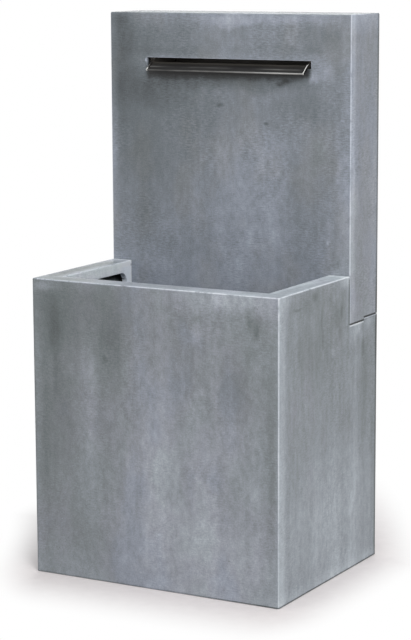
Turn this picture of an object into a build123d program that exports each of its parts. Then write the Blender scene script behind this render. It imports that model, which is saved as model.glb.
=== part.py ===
from build123d import *
import os
from math import cos, radians, tan

# Trough fountain: a hollow cast trough, with a hollow cast tower seated in a notch at its rear.
# Millimetres, +Z up, the front faces -Y, the origin is on the ground under the middle.

# The whole fountain
WIDTH = 610.0
DEPTH = 484.0
HEIGHT = 1235.0
RIM_HEIGHT = 666.0
TOWER_DEPTH = 144.0
SEAM_HEIGHT = 558.0  # underside of the tower's front half
SEAM_STEP = 6.5  # the tower's rear half ends this much higher
PAD_THICKNESS = 1.0

# Cast walls
SKIN = 13.0
RIM_WIDTH = 50.0
ARRIS = 3.0  # rounding of the outer edges
SEAM_ARRIS = 1.5  # rounding of the edges along the seam, the slot and the port
NOTCH_GAP = 0.8  # between the tower's face and the ends of the trough's side walls
BOND = 0.5  # adhesive line between the basin and the trough
SEAM_GASKET = 2.0
GASKET_INSET = 3.0  # the seam gasket stays this far behind the outer faces
BACK_FLANGE = 22.0  # width of the tower's inner flange behind the back panel
PANEL_GAP = 1.0

# Basin
FLOOR_TOP = 70.0
FOOT_DIAMETER = 64.0
FOOT_PITCH_X = 340.0
FOOT_PITCH_Y = 180.0
PAD_LENGTH = 60.0
PAD_INSET = 1.0
PAD_FROM_END = 60.0
PORT_LENGTH = 160.0
PORT_HEIGHT = 46.0
PORT_DROP = 26.0  # from the rim down to the port's upper edge
PORT_TO_TOWER = 22.0

# Spill slot and weir
SLOT_WIDTH = 416.0
SLOT_HEIGHT = 18.5
SLOT_DROP = 101.0  # from the tower's top down to the slot's upper edge
WEIR_SHEET = 3.0
WEIR_BEND = 3.5  # bend radius at the middle of the sheet
WEIR_WIDTH = 398.0
WEIR_DEPTH = 97.0
WEIR_BELOW_SLOT = 77.0  # from the slot's lower edge down to the tray's floor
WEIR_ABOVE_SLOT = 24.0
WEIR_GASKET = 2.0
LIP_REACH = 20.0
LIP_SLOPE = 30.0
LIP_EDGE_RETURN = 1.0  # height of the side returns at the lip's front edge, over the sheet
LIP_RETURN = 5.0  # height of the side returns at the tower's face, over the sheet
LIP_CLEARANCE = 0.3
THROAT_SLOPE = 18.0
EAR_WIDTH = 41.0
EAR_BELOW_SLOT = 55.0
EAR_ABOVE_SLOT = 6.0
EAR_SCREW_OUT = 25.0  # from the tray's end out to a fixing screw
EAR_SCREW_FROM_END = 16.0
WEIR_INLET_FLANGE = 56.0
LID_SHEET = 2.0
LID_SKIRT = 12.0
LID_CLEARANCE = 0.5

# Pipework
PIPE_OD = 33.4
PIPE_BORE = 26.6
SOCKET_CLEARANCE = 0.1  # on the radius, in a cemented socket
SLIP_CLEARANCE = 0.3  # on the radius, where the tower's riser lifts off its spigot
FITTING_WALL = 5.0
SOCKET_DEPTH = 18.0
FITTING_STOP = 4.0
ELBOW_BEND = 24.0
PIPE_SHOW = 4.0  # bare pipe left between two fittings
SUPPLY_DROP = 58.0  # from the seam down to the pipe's way through the basin's rear wall
SPIGOT_OVER_SEAM = 54.0
SLIP_DEPTH = 46.0
SLIP_END_GAP = 2.0
ORING_SECTION = 2.0
ORING_DROP = 14.0
ORING_SQUEEZE = 0.05  # the ring stays this far off its groove's floor
BULKHEAD_BARREL = 46.0
BULKHEAD_FLANGE = 64.0
BULKHEAD_FLANGE_THICKNESS = 7.0
BULKHEAD_GASKET = 3.0
NUT_ACROSS_FLATS = 60.0
NUT_THICKNESS = 12.0
THREAD_CLEARANCE = 0.2
HOLE_CLEARANCE = 0.3
BARREL_PAST_NUT = 3.0

# Diffuser in the weir tray
DIFFUSER_LENGTH = 330.0
DIFFUSER_OD = 40.0
DIFFUSER_BORE = 32.0
DIFFUSER_RISE = 45.0  # from the tray's floor up to the diffuser's axis
DIFFUSER_SPIGOT = 20.0
DIFFUSER_SLOT_LENGTH = 14.0
DIFFUSER_SLOT_WIDTH = 4.0
DIFFUSER_SLOT_PITCH = 20.0
DIFFUSER_SLOTS = 14
CAP_WALL = 3.0
CAP_DEPTH = 16.0

# Riser clips
CLIP_WIDTH = 16.0
CLIP_WALL = 4.0
CLIP_PLATE = 40.0
CLIP_PLATE_HEIGHT = 60.0
CLIP_POST = 18.0
CLIP_MOUTH = 26.0
CLIP_FROM_END = 100.0  # from each end of the riser to a clip
CLIP_SCREW_PITCH = 44.0

# Flow valve
VALVE_HALF = 54.0
VALVE_BARREL = 56.0
VALVE_BARREL_HALF = 28.0
BALL_DIAMETER = 38.0
BALL_GAP = 0.3
BALL_CHAMBER_HALF = 20.0
SEAT_THICKNESS = 12.0
STEM_DIAMETER = 12.0
STEM_CLEARANCE = 0.05
STEM_TANG = 4.0  # depth of the stem's end in the ball
BOSS_DIAMETER = 26.0
BOSS_REACH = 36.0  # from the valve's axis to the front of its stem boss
HANDLE_GAP = 2.0
HANDLE_HUB = 28.0
HANDLE_THICKNESS = 9.0
HANDLE_LENGTH = 78.0
HANDLE_WIDTH = 18.0
HANDLE_EDGE = 2.0
UNION_NUT = 60.0
UNION_NUT_LENGTH = 20.0
UNION_NUT_GRIPS = 12
UNION_NUT_GRIP = 6.0

# Pump
CUP_HEIGHT = 7.0
CUP_DIAMETER = 32.0
CUP_NECK = 12.0
CUP_STEM = 7.6
CUP_HEAD = 11.0
CUP_DISH = 2.0
CUP_HOLE_CLEARANCE = 0.2
CUP_PITCH_X = 140.0
CUP_PITCH_Y = 76.0
PUMP_BASE_THICKNESS = 6.0
PUMP_BASE_LENGTH = 176.0
PUMP_BASE_WIDTH = 92.0
PUMP_BASE_CORNER = 14.0
PUMP_BASE_SHIFT = -22.0
VOLUTE_DIAMETER = 86.0
VOLUTE_LENGTH = 36.0
VOLUTE_FOOT = 50.0
VOLUTE_REAR_WALL = 6.0
CHAMBER_DIAMETER = 62.0
OUTLET_RISE = 20.0  # outlet spigot above the volute
OUTLET_BORE = 24.0
ROTOR_WELL = 30.0
MOTOR_SIZE = 74.0
MOTOR_CORNER = 16.0
MOTOR_LENGTH = 90.0
MOTOR_FINS = 6
FIN_THICKNESS = 3.0
FIN_PITCH = 14.0
FIN_WIDTH = 76.0
WELL_DEPTH = 66.0
COVER_THICKNESS = 7.0
EYE_DIAMETER = 30.0
SPIDER_HUB = 13.0
SPIDER_ARM = 3.0
STRAINER_SIZE = 80.0
STRAINER_CORNER = 20.0
STRAINER_LENGTH = 55.0
STRAINER_WALL = 3.0
STRAINER_SLOT = 4.0
STRAINER_SLOT_LENGTH = 46.0
STRAINER_SLOT_PITCH = 9.0
STRAINER_SLOTS = 5
SHAFT_DIAMETER = 5.0
SHAFT_CLEARANCE = 0.05
HOLDER_DIAMETER = 9.0
HOLDER_LENGTH = 6.0
ROTOR_DIAMETER = 28.0
ROTOR_END_GAP = 3.0
IMPELLER_DIAMETER = 54.0
IMPELLER_PLATE = 2.5
IMPELLER_BLADES = 6
BLADE_HEIGHT = 13.0
BLADE_THICKNESS = 2.5
BLADE_LENGTH = 21.0
BLADE_SWEEP = 32.0
HUB_DIAMETER = 14.0
IMPELLER_GAP = 2.0
GLAND_DIAMETER = 18.0
GLAND_NECK = 14.0
GLAND_LENGTH = 10.0
GLAND_BORE = 7.0
GLAND_RISE = 20.0

# Drain in the basin's floor
DRAIN_Y = -120.0
DRAIN_BORE = 30.0
DRAIN_BARREL = 42.0
DRAIN_FLANGE = 66.0
DRAIN_FLANGE_THICKNESS = 4.0
DRAIN_GASKET = 2.0
DRAIN_NUT_THICKNESS = 10.0
DRAIN_PAST_FLOOR = 20.0
PLUG_RIM = 42.0
PLUG_RIM_THICKNESS = 4.0
PLUG_DEPTH = 26.0
PLUG_TAPER = 1.5
PLUG_CLEARANCE = 0.3
PLUG_STEM = 13.0
PLUG_STEM_HEIGHT = 10.0
PLUG_KNOB = 26.0
PLUG_KNOB_THICKNESS = 6.0

# Cord outlet low in the trough's rear wall
GROMMET_FROM_SIDE = 75.0
GROMMET_Z = 48.0
GROMMET_HOLE = 26.0
GROMMET_FLANGE = 35.0
GROMMET_FLANGE_THICKNESS = 2.5
GROMMET_BORE = 10.0
GROMMET_CLEARANCE = 0.1

# Screws
SCREW_CLEARANCE = 0.1
SCREW_BITE = 8.0  # depth of a blind hole in a cast skin
WEIR_SCREW = 6.0
WEIR_SCREW_HEAD = 11.0
WEIR_SCREW_HEAD_HEIGHT = 4.0
PANEL_SCREW = 5.0
PANEL_SCREW_HEAD = 10.0
PANEL_SCREW_HEAD_HEIGHT = 4.0
PANEL_SCREW_ROWS = 4
PANEL_SCREW_FROM_END = 50.0
CLIP_SCREW = 4.0
CLIP_SCREW_HEAD = 8.0
CLIP_SCREW_HEAD_HEIGHT = 3.0
COVER_SCREW = 3.5
COVER_SCREW_HEAD = 7.0
COVER_SCREW_HEAD_HEIGHT = 3.0
COVER_SCREW_LENGTH = 18.0
COVER_SCREW_CIRCLE = 72.0
HANDLE_SCREW = 5.0
HANDLE_SCREW_HEAD = 11.0
HANDLE_SCREW_HEAD_HEIGHT = 4.0
HANDLE_SCREW_LENGTH = 20.0
DRIVE_SHARE = 0.5  # across-flats of a hexagon drive recess over the head's diameter

# Places worked out from the sizes above
SIDE = WIDTH / 2
FRONT = -DEPTH / 2
BACK = DEPTH / 2
TOWER_FACE = BACK - TOWER_DEPTH
STEP_Y = TOWER_FACE + TOWER_DEPTH / 2
NOTCH_Y = TOWER_FACE - NOTCH_GAP
LEDGE = SEAM_HEIGHT - SEAM_GASKET
REAR_SEAM = SEAM_HEIGHT + SEAM_STEP
BASIN_SIDE = SIDE - RIM_WIDTH
BASIN_FRONT = FRONT + RIM_WIDTH
BASIN_TOP = RIM_HEIGHT - SKIN
REAR_WALL_OUT = TOWER_FACE + SKIN
BASIN_MIDDLE_Y = (BASIN_FRONT + TOWER_FACE) / 2
FLOOR_BOTTOM = FLOOR_TOP - SKIN
SLOT_TOP = HEIGHT - SLOT_DROP
SLOT_BOTTOM = SLOT_TOP - SLOT_HEIGHT
FLANGE_Y = BACK - 2 * SKIN
PANEL_Y = BACK - SKIN
WEIR_SIDE = WEIR_WIDTH / 2
WEIR_FRONT = REAR_WALL_OUT + WEIR_GASKET
WEIR_FLOOR = SLOT_BOTTOM - WEIR_BELOW_SLOT
WEIR_TOP = SLOT_TOP + WEIR_ABOVE_SLOT
SOCKET_BORE = PIPE_OD + 2 * SOCKET_CLEARANCE
SLIP_BORE = PIPE_OD + 2 * SLIP_CLEARANCE
FITTING_OD = SOCKET_BORE + 2 * FITTING_WALL
ELBOW_ARM = ELBOW_BEND + SOCKET_DEPTH
BULKHEAD_FRONT = TOWER_FACE - BULKHEAD_GASKET - BULKHEAD_FLANGE_THICKNESS
BULKHEAD_STOP = BULKHEAD_FRONT + SOCKET_DEPTH
BULKHEAD_END = BULKHEAD_STOP + FITTING_STOP + SOCKET_DEPTH
SUPPLY_Y = BULKHEAD_FRONT - PIPE_SHOW - ELBOW_ARM
SUPPLY_HEIGHT = SEAM_HEIGHT - SUPPLY_DROP
VALVE_HEIGHT = SUPPLY_HEIGHT - ELBOW_ARM - PIPE_SHOW - VALVE_HALF
RISER_Y = BULKHEAD_END + PIPE_SHOW + ELBOW_ARM
SPIGOT_TOP = SEAM_HEIGHT + SPIGOT_OVER_SEAM
SLIP_STOP = SPIGOT_TOP + SLIP_END_GAP
RISER_BOTTOM = SLIP_STOP + FITTING_STOP
WEIR_INLET_BOTTOM = WEIR_FLOOR - WEIR_SHEET / 2 - NUT_THICKNESS - BARREL_PAST_NUT - SOCKET_DEPTH
RISER_TOP = WEIR_INLET_BOTTOM + SOCKET_DEPTH
CLIP_HEIGHTS = (RISER_BOTTOM + CLIP_FROM_END, RISER_TOP - CLIP_FROM_END)
PUMP_BASE_TOP = FLOOR_TOP + CUP_HEIGHT + PUMP_BASE_THICKNESS
PUMP_AXIS = PUMP_BASE_TOP + VOLUTE_DIAMETER / 2
OUTLET_TOP = PUMP_AXIS + VOLUTE_DIAMETER / 2 + OUTLET_RISE
COVER_X = VOLUTE_LENGTH / 2
STRAINER_X = COVER_X + COVER_THICKNESS
MOTOR_X = -VOLUTE_LENGTH / 2
CHAMBER_X = MOTOR_X + VOLUTE_REAR_WALL
IMPELLER_X = CHAMBER_X + IMPELLER_GAP
WELL_END = MOTOR_X - WELL_DEPTH
HANDLE_Y = SUPPLY_Y - BOSS_REACH - HANDLE_GAP

os.makedirs("parts", exist_ok=True)


def finish(piece, name):
    """Label a finished piece and write its file."""
    piece.part.label = name
    export_step(piece.part, f"parts/{name}.step")


def facing_back(x, y, z):
    """A plane that faces +Y, upright."""
    return Plane(origin=(x, y, z), x_dir=(-1, 0, 0), z_dir=(0, 1, 0))


def facing_right(x, y, z):
    """A plane that faces +X, upright."""
    return Plane(origin=(x, y, z), x_dir=(0, 1, 0), z_dir=(1, 0, 0))


def facing_up(x, y, z):
    """A level plane that faces +Z."""
    return Plane(origin=(x, y, z), x_dir=(1, 0, 0), z_dir=(0, 0, 1))


def drill(seats, diameter, depth):
    """Cut a round hole into the part being built from each plane, against its normal."""
    for seat in seats:
        with BuildSketch(seat) as mouth:
            Circle(diameter / 2)
        extrude(mouth.sketch, amount=-depth, mode=Mode.SUBTRACT)


def pan_screws(seats, shank, length, head, head_height):
    """A group of pan-head screws: each head stands on its plane, with the shank behind it."""
    with BuildPart() as group:
        for seat in seats:
            with BuildSketch(seat):
                Circle(head / 2)
            extrude(amount=head_height)
            with BuildSketch(seat):
                Circle(shank / 2)
            extrude(amount=-length)
            with BuildSketch(seat.offset(head_height)):
                RegularPolygon(DRIVE_SHARE * head / 2, 6, major_radius=False)
            extrude(amount=-head_height / 2, mode=Mode.SUBTRACT)
    return group


def pipe(start, length):
    """A length of pipe that begins on a plane and follows its normal."""
    with BuildPart() as run:
        with BuildSketch(start):
            Circle(PIPE_OD / 2)
            Circle(PIPE_BORE / 2, mode=Mode.SUBTRACT)
        extrude(amount=length)
    return run


def coupling(start, near_bore, near_depth, far_depth):
    """A straight sleeve with a socket at each end and a stop ring between them."""
    with BuildPart() as sleeve:
        with BuildSketch(start):
            Circle(FITTING_OD / 2)
            Circle(PIPE_BORE / 2, mode=Mode.SUBTRACT)
        extrude(amount=near_depth + FITTING_STOP + far_depth)
        with BuildSketch(start):
            Circle(near_bore / 2)
        extrude(amount=near_depth, mode=Mode.SUBTRACT)
        with BuildSketch(start.offset(near_depth + FITTING_STOP)):
            Circle(SOCKET_BORE / 2)
        extrude(amount=far_depth, mode=Mode.SUBTRACT)
    return sleeve


def elbow(inlet, corner, outlet):
    """A right-angle fitting with a socket in each mouth."""
    inlet_plane = Plane(origin=inlet, z_dir=Vector(corner) - Vector(inlet))
    outlet_plane = Plane(origin=outlet, z_dir=Vector(corner) - Vector(outlet))
    with BuildPart() as bend:
        with BuildLine() as route:
            FilletPolyline(inlet, corner, outlet, radius=ELBOW_BEND)
        with BuildSketch(inlet_plane):
            Circle(FITTING_OD / 2)
            Circle(PIPE_BORE / 2, mode=Mode.SUBTRACT)
        sweep(path=route.line)
        for mouth in (inlet_plane, outlet_plane):
            with BuildSketch(mouth):
                Circle(SOCKET_BORE / 2)
            extrude(amount=SOCKET_DEPTH, mode=Mode.SUBTRACT)
    return bend


def hex_nut(start, across_flats, bore, thickness):
    """A hexagon nut that begins on a plane and follows its normal."""
    with BuildPart() as nut:
        with BuildSketch(start):
            RegularPolygon(across_flats / 2, 6, major_radius=False)
            Circle(bore / 2, mode=Mode.SUBTRACT)
        extrude(amount=thickness)
    return nut


def washer(start, outer, inner, thickness):
    """A flat ring that begins on a plane and follows its normal."""
    with BuildPart() as ring:
        with BuildSketch(start):
            Circle(outer / 2)
            Circle(inner / 2, mode=Mode.SUBTRACT)
        extrude(amount=thickness)
    return ring


def trough_outline(inset):
    """Side view of the trough, or of its hollow when every wall is set in by a skin."""
    step = STEP_Y + SEAM_GASKET + inset
    notch = NOTCH_Y - inset
    return [
        (FRONT + inset, PAD_THICKNESS),
        (BACK - inset, PAD_THICKNESS),
        (BACK - inset, LEDGE + SEAM_STEP - inset),
        (step, LEDGE + SEAM_STEP - inset),
        (step, LEDGE - inset),
        (notch, LEDGE - inset),
        (notch, RIM_HEIGHT - inset),
        (FRONT + inset, RIM_HEIGHT - inset),
    ]


# Trough: four outer walls, a broad rim that turns inwards, and a lowered ledge for the tower
cord_outlet = facing_back(GROMMET_FROM_SIDE - SIDE, BACK, GROMMET_Z)
with BuildPart() as trough_shell:
    with BuildSketch(Plane.YZ):
        with BuildLine():
            Polyline(*trough_outline(0), close=True)
        make_face()
    extrude(amount=SIDE, both=True)
    upright_corners = trough_shell.edges().filter_by(Axis.Z).group_by(Axis.Y)
    fillet(upright_corners[0] + upright_corners[-1], ARRIS)
    with BuildSketch(Plane.YZ):
        with BuildLine():
            Polyline(*trough_outline(SKIN), close=True)
        make_face()
    extrude(amount=SIDE - SKIN, both=True, mode=Mode.SUBTRACT)
    # Mouth of the basin, open at the notch
    with BuildSketch(Plane.XY.offset(RIM_HEIGHT)):
        with Locations((0, (BASIN_FRONT + NOTCH_Y) / 2)):
            Rectangle(2 * BASIN_SIDE, NOTCH_Y - BASIN_FRONT)
    extrude(amount=-SKIN, mode=Mode.SUBTRACT)
    fillet(trough_shell.edges().group_by(Axis.Z)[-1], ARRIS)
    # Bay for the basin
    bay_front = BASIN_FRONT - SKIN - BOND
    bay_back = REAR_WALL_OUT + BOND
    with BuildSketch(Plane.XY.offset(BASIN_TOP)):
        with Locations((0, (bay_front + bay_back) / 2)):
            Rectangle(2 * (BASIN_SIDE + SKIN + BOND), bay_back - bay_front)
    extrude(amount=PAD_THICKNESS - BASIN_TOP, mode=Mode.SUBTRACT)
    # Way up from the service chamber into the tower
    chamber_back = BACK - RIM_WIDTH
    with BuildSketch(Plane.XY.offset(LEDGE + SEAM_STEP)):
        with Locations((0, (bay_back + chamber_back) / 2)):
            Rectangle(2 * BASIN_SIDE, chamber_back - bay_back)
    extrude(amount=-SKIN - SEAM_STEP, mode=Mode.SUBTRACT)
    drill([cord_outlet], GROMMET_HOLE, SKIN)
    drill([cord_outlet], GROMMET_FLANGE + 2 * GROMMET_CLEARANCE, GROMMET_FLANGE_THICKNESS)
finish(trough_shell, "trough_shell")

# Basin: a watertight tub under the rim, with the service port high in its left wall
port_y = TOWER_FACE - PORT_TO_TOWER - PORT_LENGTH / 2
port_z = RIM_HEIGHT - PORT_DROP - PORT_HEIGHT / 2
bulkhead_seat = facing_back(0, REAR_WALL_OUT, SUPPLY_HEIGHT)
drain_seat = facing_up(0, DRAIN_Y, FLOOR_TOP)
with BuildPart() as basin:
    with BuildSketch(Plane.YZ):
        with BuildLine():
            Polyline(
                (BASIN_FRONT - SKIN, FLOOR_BOTTOM),
                (REAR_WALL_OUT, FLOOR_BOTTOM),
                (REAR_WALL_OUT, LEDGE),
                (NOTCH_Y, LEDGE),
                (NOTCH_Y, BASIN_TOP),
                (BASIN_FRONT - SKIN, BASIN_TOP),
                close=True,
            )
        make_face()
    extrude(amount=BASIN_SIDE + SKIN, both=True)
    with BuildSketch(Plane.XY.offset(FLOOR_TOP)):
        with Locations((0, BASIN_MIDDLE_Y)):
            Rectangle(2 * BASIN_SIDE, TOWER_FACE - BASIN_FRONT)
    extrude(amount=BASIN_TOP - FLOOR_TOP, mode=Mode.SUBTRACT)
    with BuildSketch(Plane.YZ.offset(-BASIN_SIDE)):
        with Locations((port_y, port_z)):
            SlotOverall(PORT_LENGTH, PORT_HEIGHT)
    extrude(amount=-SKIN, mode=Mode.SUBTRACT)
    port_faces = basin.faces().filter_by(GeomType.CYLINDER)
    port_rim = port_faces.edges().group_by(Axis.X)[-1]
    fillet(port_rim, SEAM_ARRIS)
    with BuildSketch(Plane.XY.offset(FLOOR_BOTTOM)):
        with Locations((0, BASIN_MIDDLE_Y)):
            with GridLocations(FOOT_PITCH_X, FOOT_PITCH_Y, 2, 2):
                Circle(FOOT_DIAMETER / 2)
    extrude(amount=PAD_THICKNESS - FLOOR_BOTTOM)
    drill([bulkhead_seat], BULKHEAD_BARREL + 2 * HOLE_CLEARANCE, SKIN)
    drill([drain_seat], DRAIN_BARREL + 2 * HOLE_CLEARANCE, SKIN)
finish(basin, "basin")

# Pads: one under each end of the side walls, and one under each foot of the basin
with BuildPart() as foot_pads:
    with BuildSketch(Plane.XY):
        with GridLocations(WIDTH - SKIN, DEPTH - 2 * PAD_FROM_END, 2, 2):
            Rectangle(SKIN - 2 * PAD_INSET, PAD_LENGTH)
        with Locations((0, BASIN_MIDDLE_Y)):
            with GridLocations(FOOT_PITCH_X, FOOT_PITCH_Y, 2, 2):
                Circle(FOOT_DIAMETER / 2 - PAD_INSET)
    extrude(amount=PAD_THICKNESS)
finish(foot_pads, "foot_pads")

# Seam gasket: a strip that follows the stepped ledge and crosses the top of the basin's rear wall
with BuildPart() as seam_gasket:
    with BuildSketch(Plane.YZ):
        with BuildLine():
            Polyline(
                (TOWER_FACE + GASKET_INSET, LEDGE),
                (STEP_Y + SEAM_GASKET, LEDGE),
                (STEP_Y + SEAM_GASKET, LEDGE + SEAM_STEP),
                (BACK - GASKET_INSET, LEDGE + SEAM_STEP),
                (BACK - GASKET_INSET, REAR_SEAM),
                (STEP_Y, REAR_SEAM),
                (STEP_Y, SEAM_HEIGHT),
                (TOWER_FACE + GASKET_INSET, SEAM_HEIGHT),
                close=True,
            )
        make_face()
    extrude(amount=SIDE - GASKET_INSET, both=True)
    with BuildSketch(Plane.XY.offset(LEDGE)):
        with Locations((0, (REAR_WALL_OUT + PANEL_Y) / 2)):
            Rectangle(2 * (SIDE - SKIN), PANEL_Y - REAR_WALL_OUT)
    extrude(amount=REAR_SEAM - LEDGE, mode=Mode.SUBTRACT)
finish(seam_gasket, "seam_gasket")

# Grommet in the cord outlet, flush with the rear wall
with BuildPart() as cord_grommet:
    with BuildSketch(cord_outlet):
        Circle(GROMMET_FLANGE / 2)
    extrude(amount=-GROMMET_FLANGE_THICKNESS)
    with BuildSketch(cord_outlet):
        Circle(GROMMET_HOLE / 2 - GROMMET_CLEARANCE)
    extrude(amount=-SKIN)
    with BuildSketch(cord_outlet.offset(-SKIN)):
        Circle(GROMMET_FLANGE / 2)
    extrude(amount=-GROMMET_FLANGE_THICKNESS)
    drill([cord_outlet], GROMMET_BORE, SKIN + GROMMET_FLANGE_THICKNESS)
finish(cord_grommet, "cord_grommet")

# Tower: front, sides and top in one casting, open below and behind, stepped like the ledge
panel_screw_x = SIDE - SKIN - BACK_FLANGE / 2
panel_bottom = REAR_SEAM + PANEL_GAP
panel_top = HEIGHT - SKIN - PANEL_GAP
panel_screw_pitch = (panel_top - panel_bottom - 2 * PANEL_SCREW_FROM_END) / (PANEL_SCREW_ROWS - 1)
panel_seats = []
for row in range(PANEL_SCREW_ROWS):
    for x in (-panel_screw_x, panel_screw_x):
        z = panel_bottom + PANEL_SCREW_FROM_END + row * panel_screw_pitch
        panel_seats.append(facing_back(x, BACK - PANEL_SCREW_HEAD_HEIGHT, z))

ear_x = WEIR_SIDE + EAR_SCREW_OUT
ear_bottom = SLOT_BOTTOM - EAR_BELOW_SLOT
ear_top = SLOT_TOP + EAR_ABOVE_SLOT
weir_seats = []
for x in (-ear_x, ear_x):
    for z in (ear_bottom + EAR_SCREW_FROM_END, ear_top - EAR_SCREW_FROM_END):
        weir_seats.append(facing_back(x, WEIR_FRONT + WEIR_SHEET, z))

clip_seats = []
for height in CLIP_HEIGHTS:
    for z in (height - CLIP_SCREW_PITCH / 2, height + CLIP_SCREW_PITCH / 2):
        clip_seats.append(facing_back(0, REAR_WALL_OUT + CLIP_WALL, z))

with BuildPart() as tower_shell:
    with BuildSketch(Plane.YZ):
        with BuildLine():
            Polyline(
                (TOWER_FACE, SEAM_HEIGHT),
                (STEP_Y, SEAM_HEIGHT),
                (STEP_Y, REAR_SEAM),
                (BACK, REAR_SEAM),
                (BACK, HEIGHT),
                (TOWER_FACE, HEIGHT),
                close=True,
            )
        make_face()
    extrude(amount=SIDE, both=True)
    upright_corners = tower_shell.edges().filter_by(Axis.Z).group_by(Axis.Y)
    fillet(upright_corners[0] + upright_corners[-1], ARRIS)
    fillet(tower_shell.edges().group_by(Axis.Z)[-1], ARRIS)
    # Hollow, the way through the back inside the flange, and the pocket for the back panel
    hollows = (
        (SIDE - SKIN, REAR_WALL_OUT, FLANGE_Y, HEIGHT - SKIN),
        (SIDE - SKIN - BACK_FLANGE, FLANGE_Y, PANEL_Y, HEIGHT - SKIN - BACK_FLANGE),
        (SIDE - SKIN, PANEL_Y, BACK, HEIGHT - SKIN),
    )
    for half_width, near, far, top in hollows:
        with BuildSketch(Plane.XY.offset(SEAM_HEIGHT)):
            with Locations((0, (near + far) / 2)):
                Rectangle(2 * half_width, far - near)
        extrude(amount=top - SEAM_HEIGHT, mode=Mode.SUBTRACT)
    with BuildSketch(facing_back(0, TOWER_FACE, (SLOT_TOP + SLOT_BOTTOM) / 2)):
        Rectangle(SLOT_WIDTH, SLOT_HEIGHT)
    extrude(amount=SKIN, mode=Mode.SUBTRACT)
    drill([seat.offset(-WEIR_SHEET - WEIR_GASKET) for seat in weir_seats],
          WEIR_SCREW + 2 * SCREW_CLEARANCE, SCREW_BITE)
    drill([seat.offset(-CLIP_WALL) for seat in clip_seats],
          CLIP_SCREW + 2 * SCREW_CLEARANCE, SCREW_BITE)
    drill([seat.offset(PANEL_SCREW_HEAD_HEIGHT - SKIN) for seat in panel_seats],
          PANEL_SCREW + 2 * SCREW_CLEARANCE, SKIN)
finish(tower_shell, "tower_shell")

# Back panel, set flush into the tower and screwed to its flange
with BuildPart() as tower_back_panel:
    with BuildSketch(facing_back(0, PANEL_Y, (panel_bottom + panel_top) / 2)):
        Rectangle(2 * (SIDE - SKIN - PANEL_GAP), panel_top - panel_bottom)
    extrude(amount=SKIN)
    chamfer(tower_back_panel.faces().sort_by(Axis.Y)[-1].edges(), SEAM_ARRIS)
    drill(panel_seats, PANEL_SCREW + 2 * SCREW_CLEARANCE, SKIN)
    drill([seat.offset(PANEL_SCREW_HEAD_HEIGHT) for seat in panel_seats],
          PANEL_SCREW_HEAD + 2 * SCREW_CLEARANCE, PANEL_SCREW_HEAD_HEIGHT)
finish(tower_back_panel, "tower_back_panel")

panel_screw_length = 2 * SKIN - PANEL_SCREW_HEAD_HEIGHT
back_panel_screws = pan_screws(
    panel_seats, PANEL_SCREW, panel_screw_length, PANEL_SCREW_HEAD, PANEL_SCREW_HEAD_HEIGHT
)
finish(back_panel_screws, "back_panel_screws")

# Weir tray: one folded sheet from the lip's front edge over the crest and round the tray,
# with an end plate, a side return on the lip and a fixing ear at each end
lip_face_z = SLOT_BOTTOM + LIP_CLEARANCE + WEIR_SHEET / 2 / cos(radians(LIP_SLOPE))
lip_tip = (TOWER_FACE - LIP_REACH, lip_face_z - LIP_REACH * tan(radians(LIP_SLOPE)))
wall_y = WEIR_FRONT + WEIR_SHEET / 2
crest = (wall_y, lip_face_z + (wall_y - TOWER_FACE) * tan(radians(THROAT_SLOPE)))
tray_back = WEIR_FRONT + WEIR_DEPTH
weir_inlet_seat = facing_up(0, RISER_Y, WEIR_FLOOR + WEIR_SHEET / 2)
with BuildPart() as weir_tray:
    with BuildSketch(Plane.YZ):
        with BuildLine():
            FilletPolyline(
                lip_tip,
                (TOWER_FACE, lip_face_z),
                crest,
                (wall_y, WEIR_FLOOR),
                (tray_back - WEIR_SHEET / 2, WEIR_FLOOR),
                (tray_back - WEIR_SHEET / 2, WEIR_TOP),
                radius=WEIR_BEND,
            )
        trace(line_width=WEIR_SHEET)
    extrude(amount=WEIR_SIDE, both=True)
    for end in (-WEIR_SIDE, WEIR_SIDE - WEIR_SHEET):
        with BuildSketch(Plane.YZ.offset(end)):
            with BuildLine():
                Polyline(
                    (wall_y, WEIR_FLOOR),
                    (tray_back - WEIR_SHEET / 2, WEIR_FLOOR),
                    (tray_back - WEIR_SHEET / 2, WEIR_TOP),
                    (wall_y, WEIR_TOP),
                    close=True,
                )
            make_face()
            with BuildLine():
                Polyline(
                    lip_tip,
                    (TOWER_FACE, lip_face_z),
                    crest,
                    (wall_y, crest[1] + WEIR_SHEET / 2 + LIP_RETURN),
                    (TOWER_FACE, lip_face_z + WEIR_SHEET / 2 + LIP_RETURN),
                    (lip_tip[0], lip_tip[1] + WEIR_SHEET / 2 + LIP_EDGE_RETURN),
                    close=True,
                )
            make_face()
        extrude(amount=WEIR_SHEET)
    for side in (-1, 1):
        ear_middle = side * (WEIR_SIDE - WEIR_SHEET + (EAR_WIDTH + WEIR_SHEET) / 2)
        with BuildSketch(facing_back(ear_middle, WEIR_FRONT, (ear_bottom + ear_top) / 2)):
            Rectangle(EAR_WIDTH + WEIR_SHEET, ear_top - ear_bottom)
        extrude(amount=WEIR_SHEET)
    drill(weir_seats, WEIR_SCREW + 2 * SCREW_CLEARANCE, WEIR_SHEET)
    drill([weir_inlet_seat], BULKHEAD_BARREL + 2 * HOLE_CLEARANCE, WEIR_SHEET)
finish(weir_tray, "weir_tray")

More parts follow.
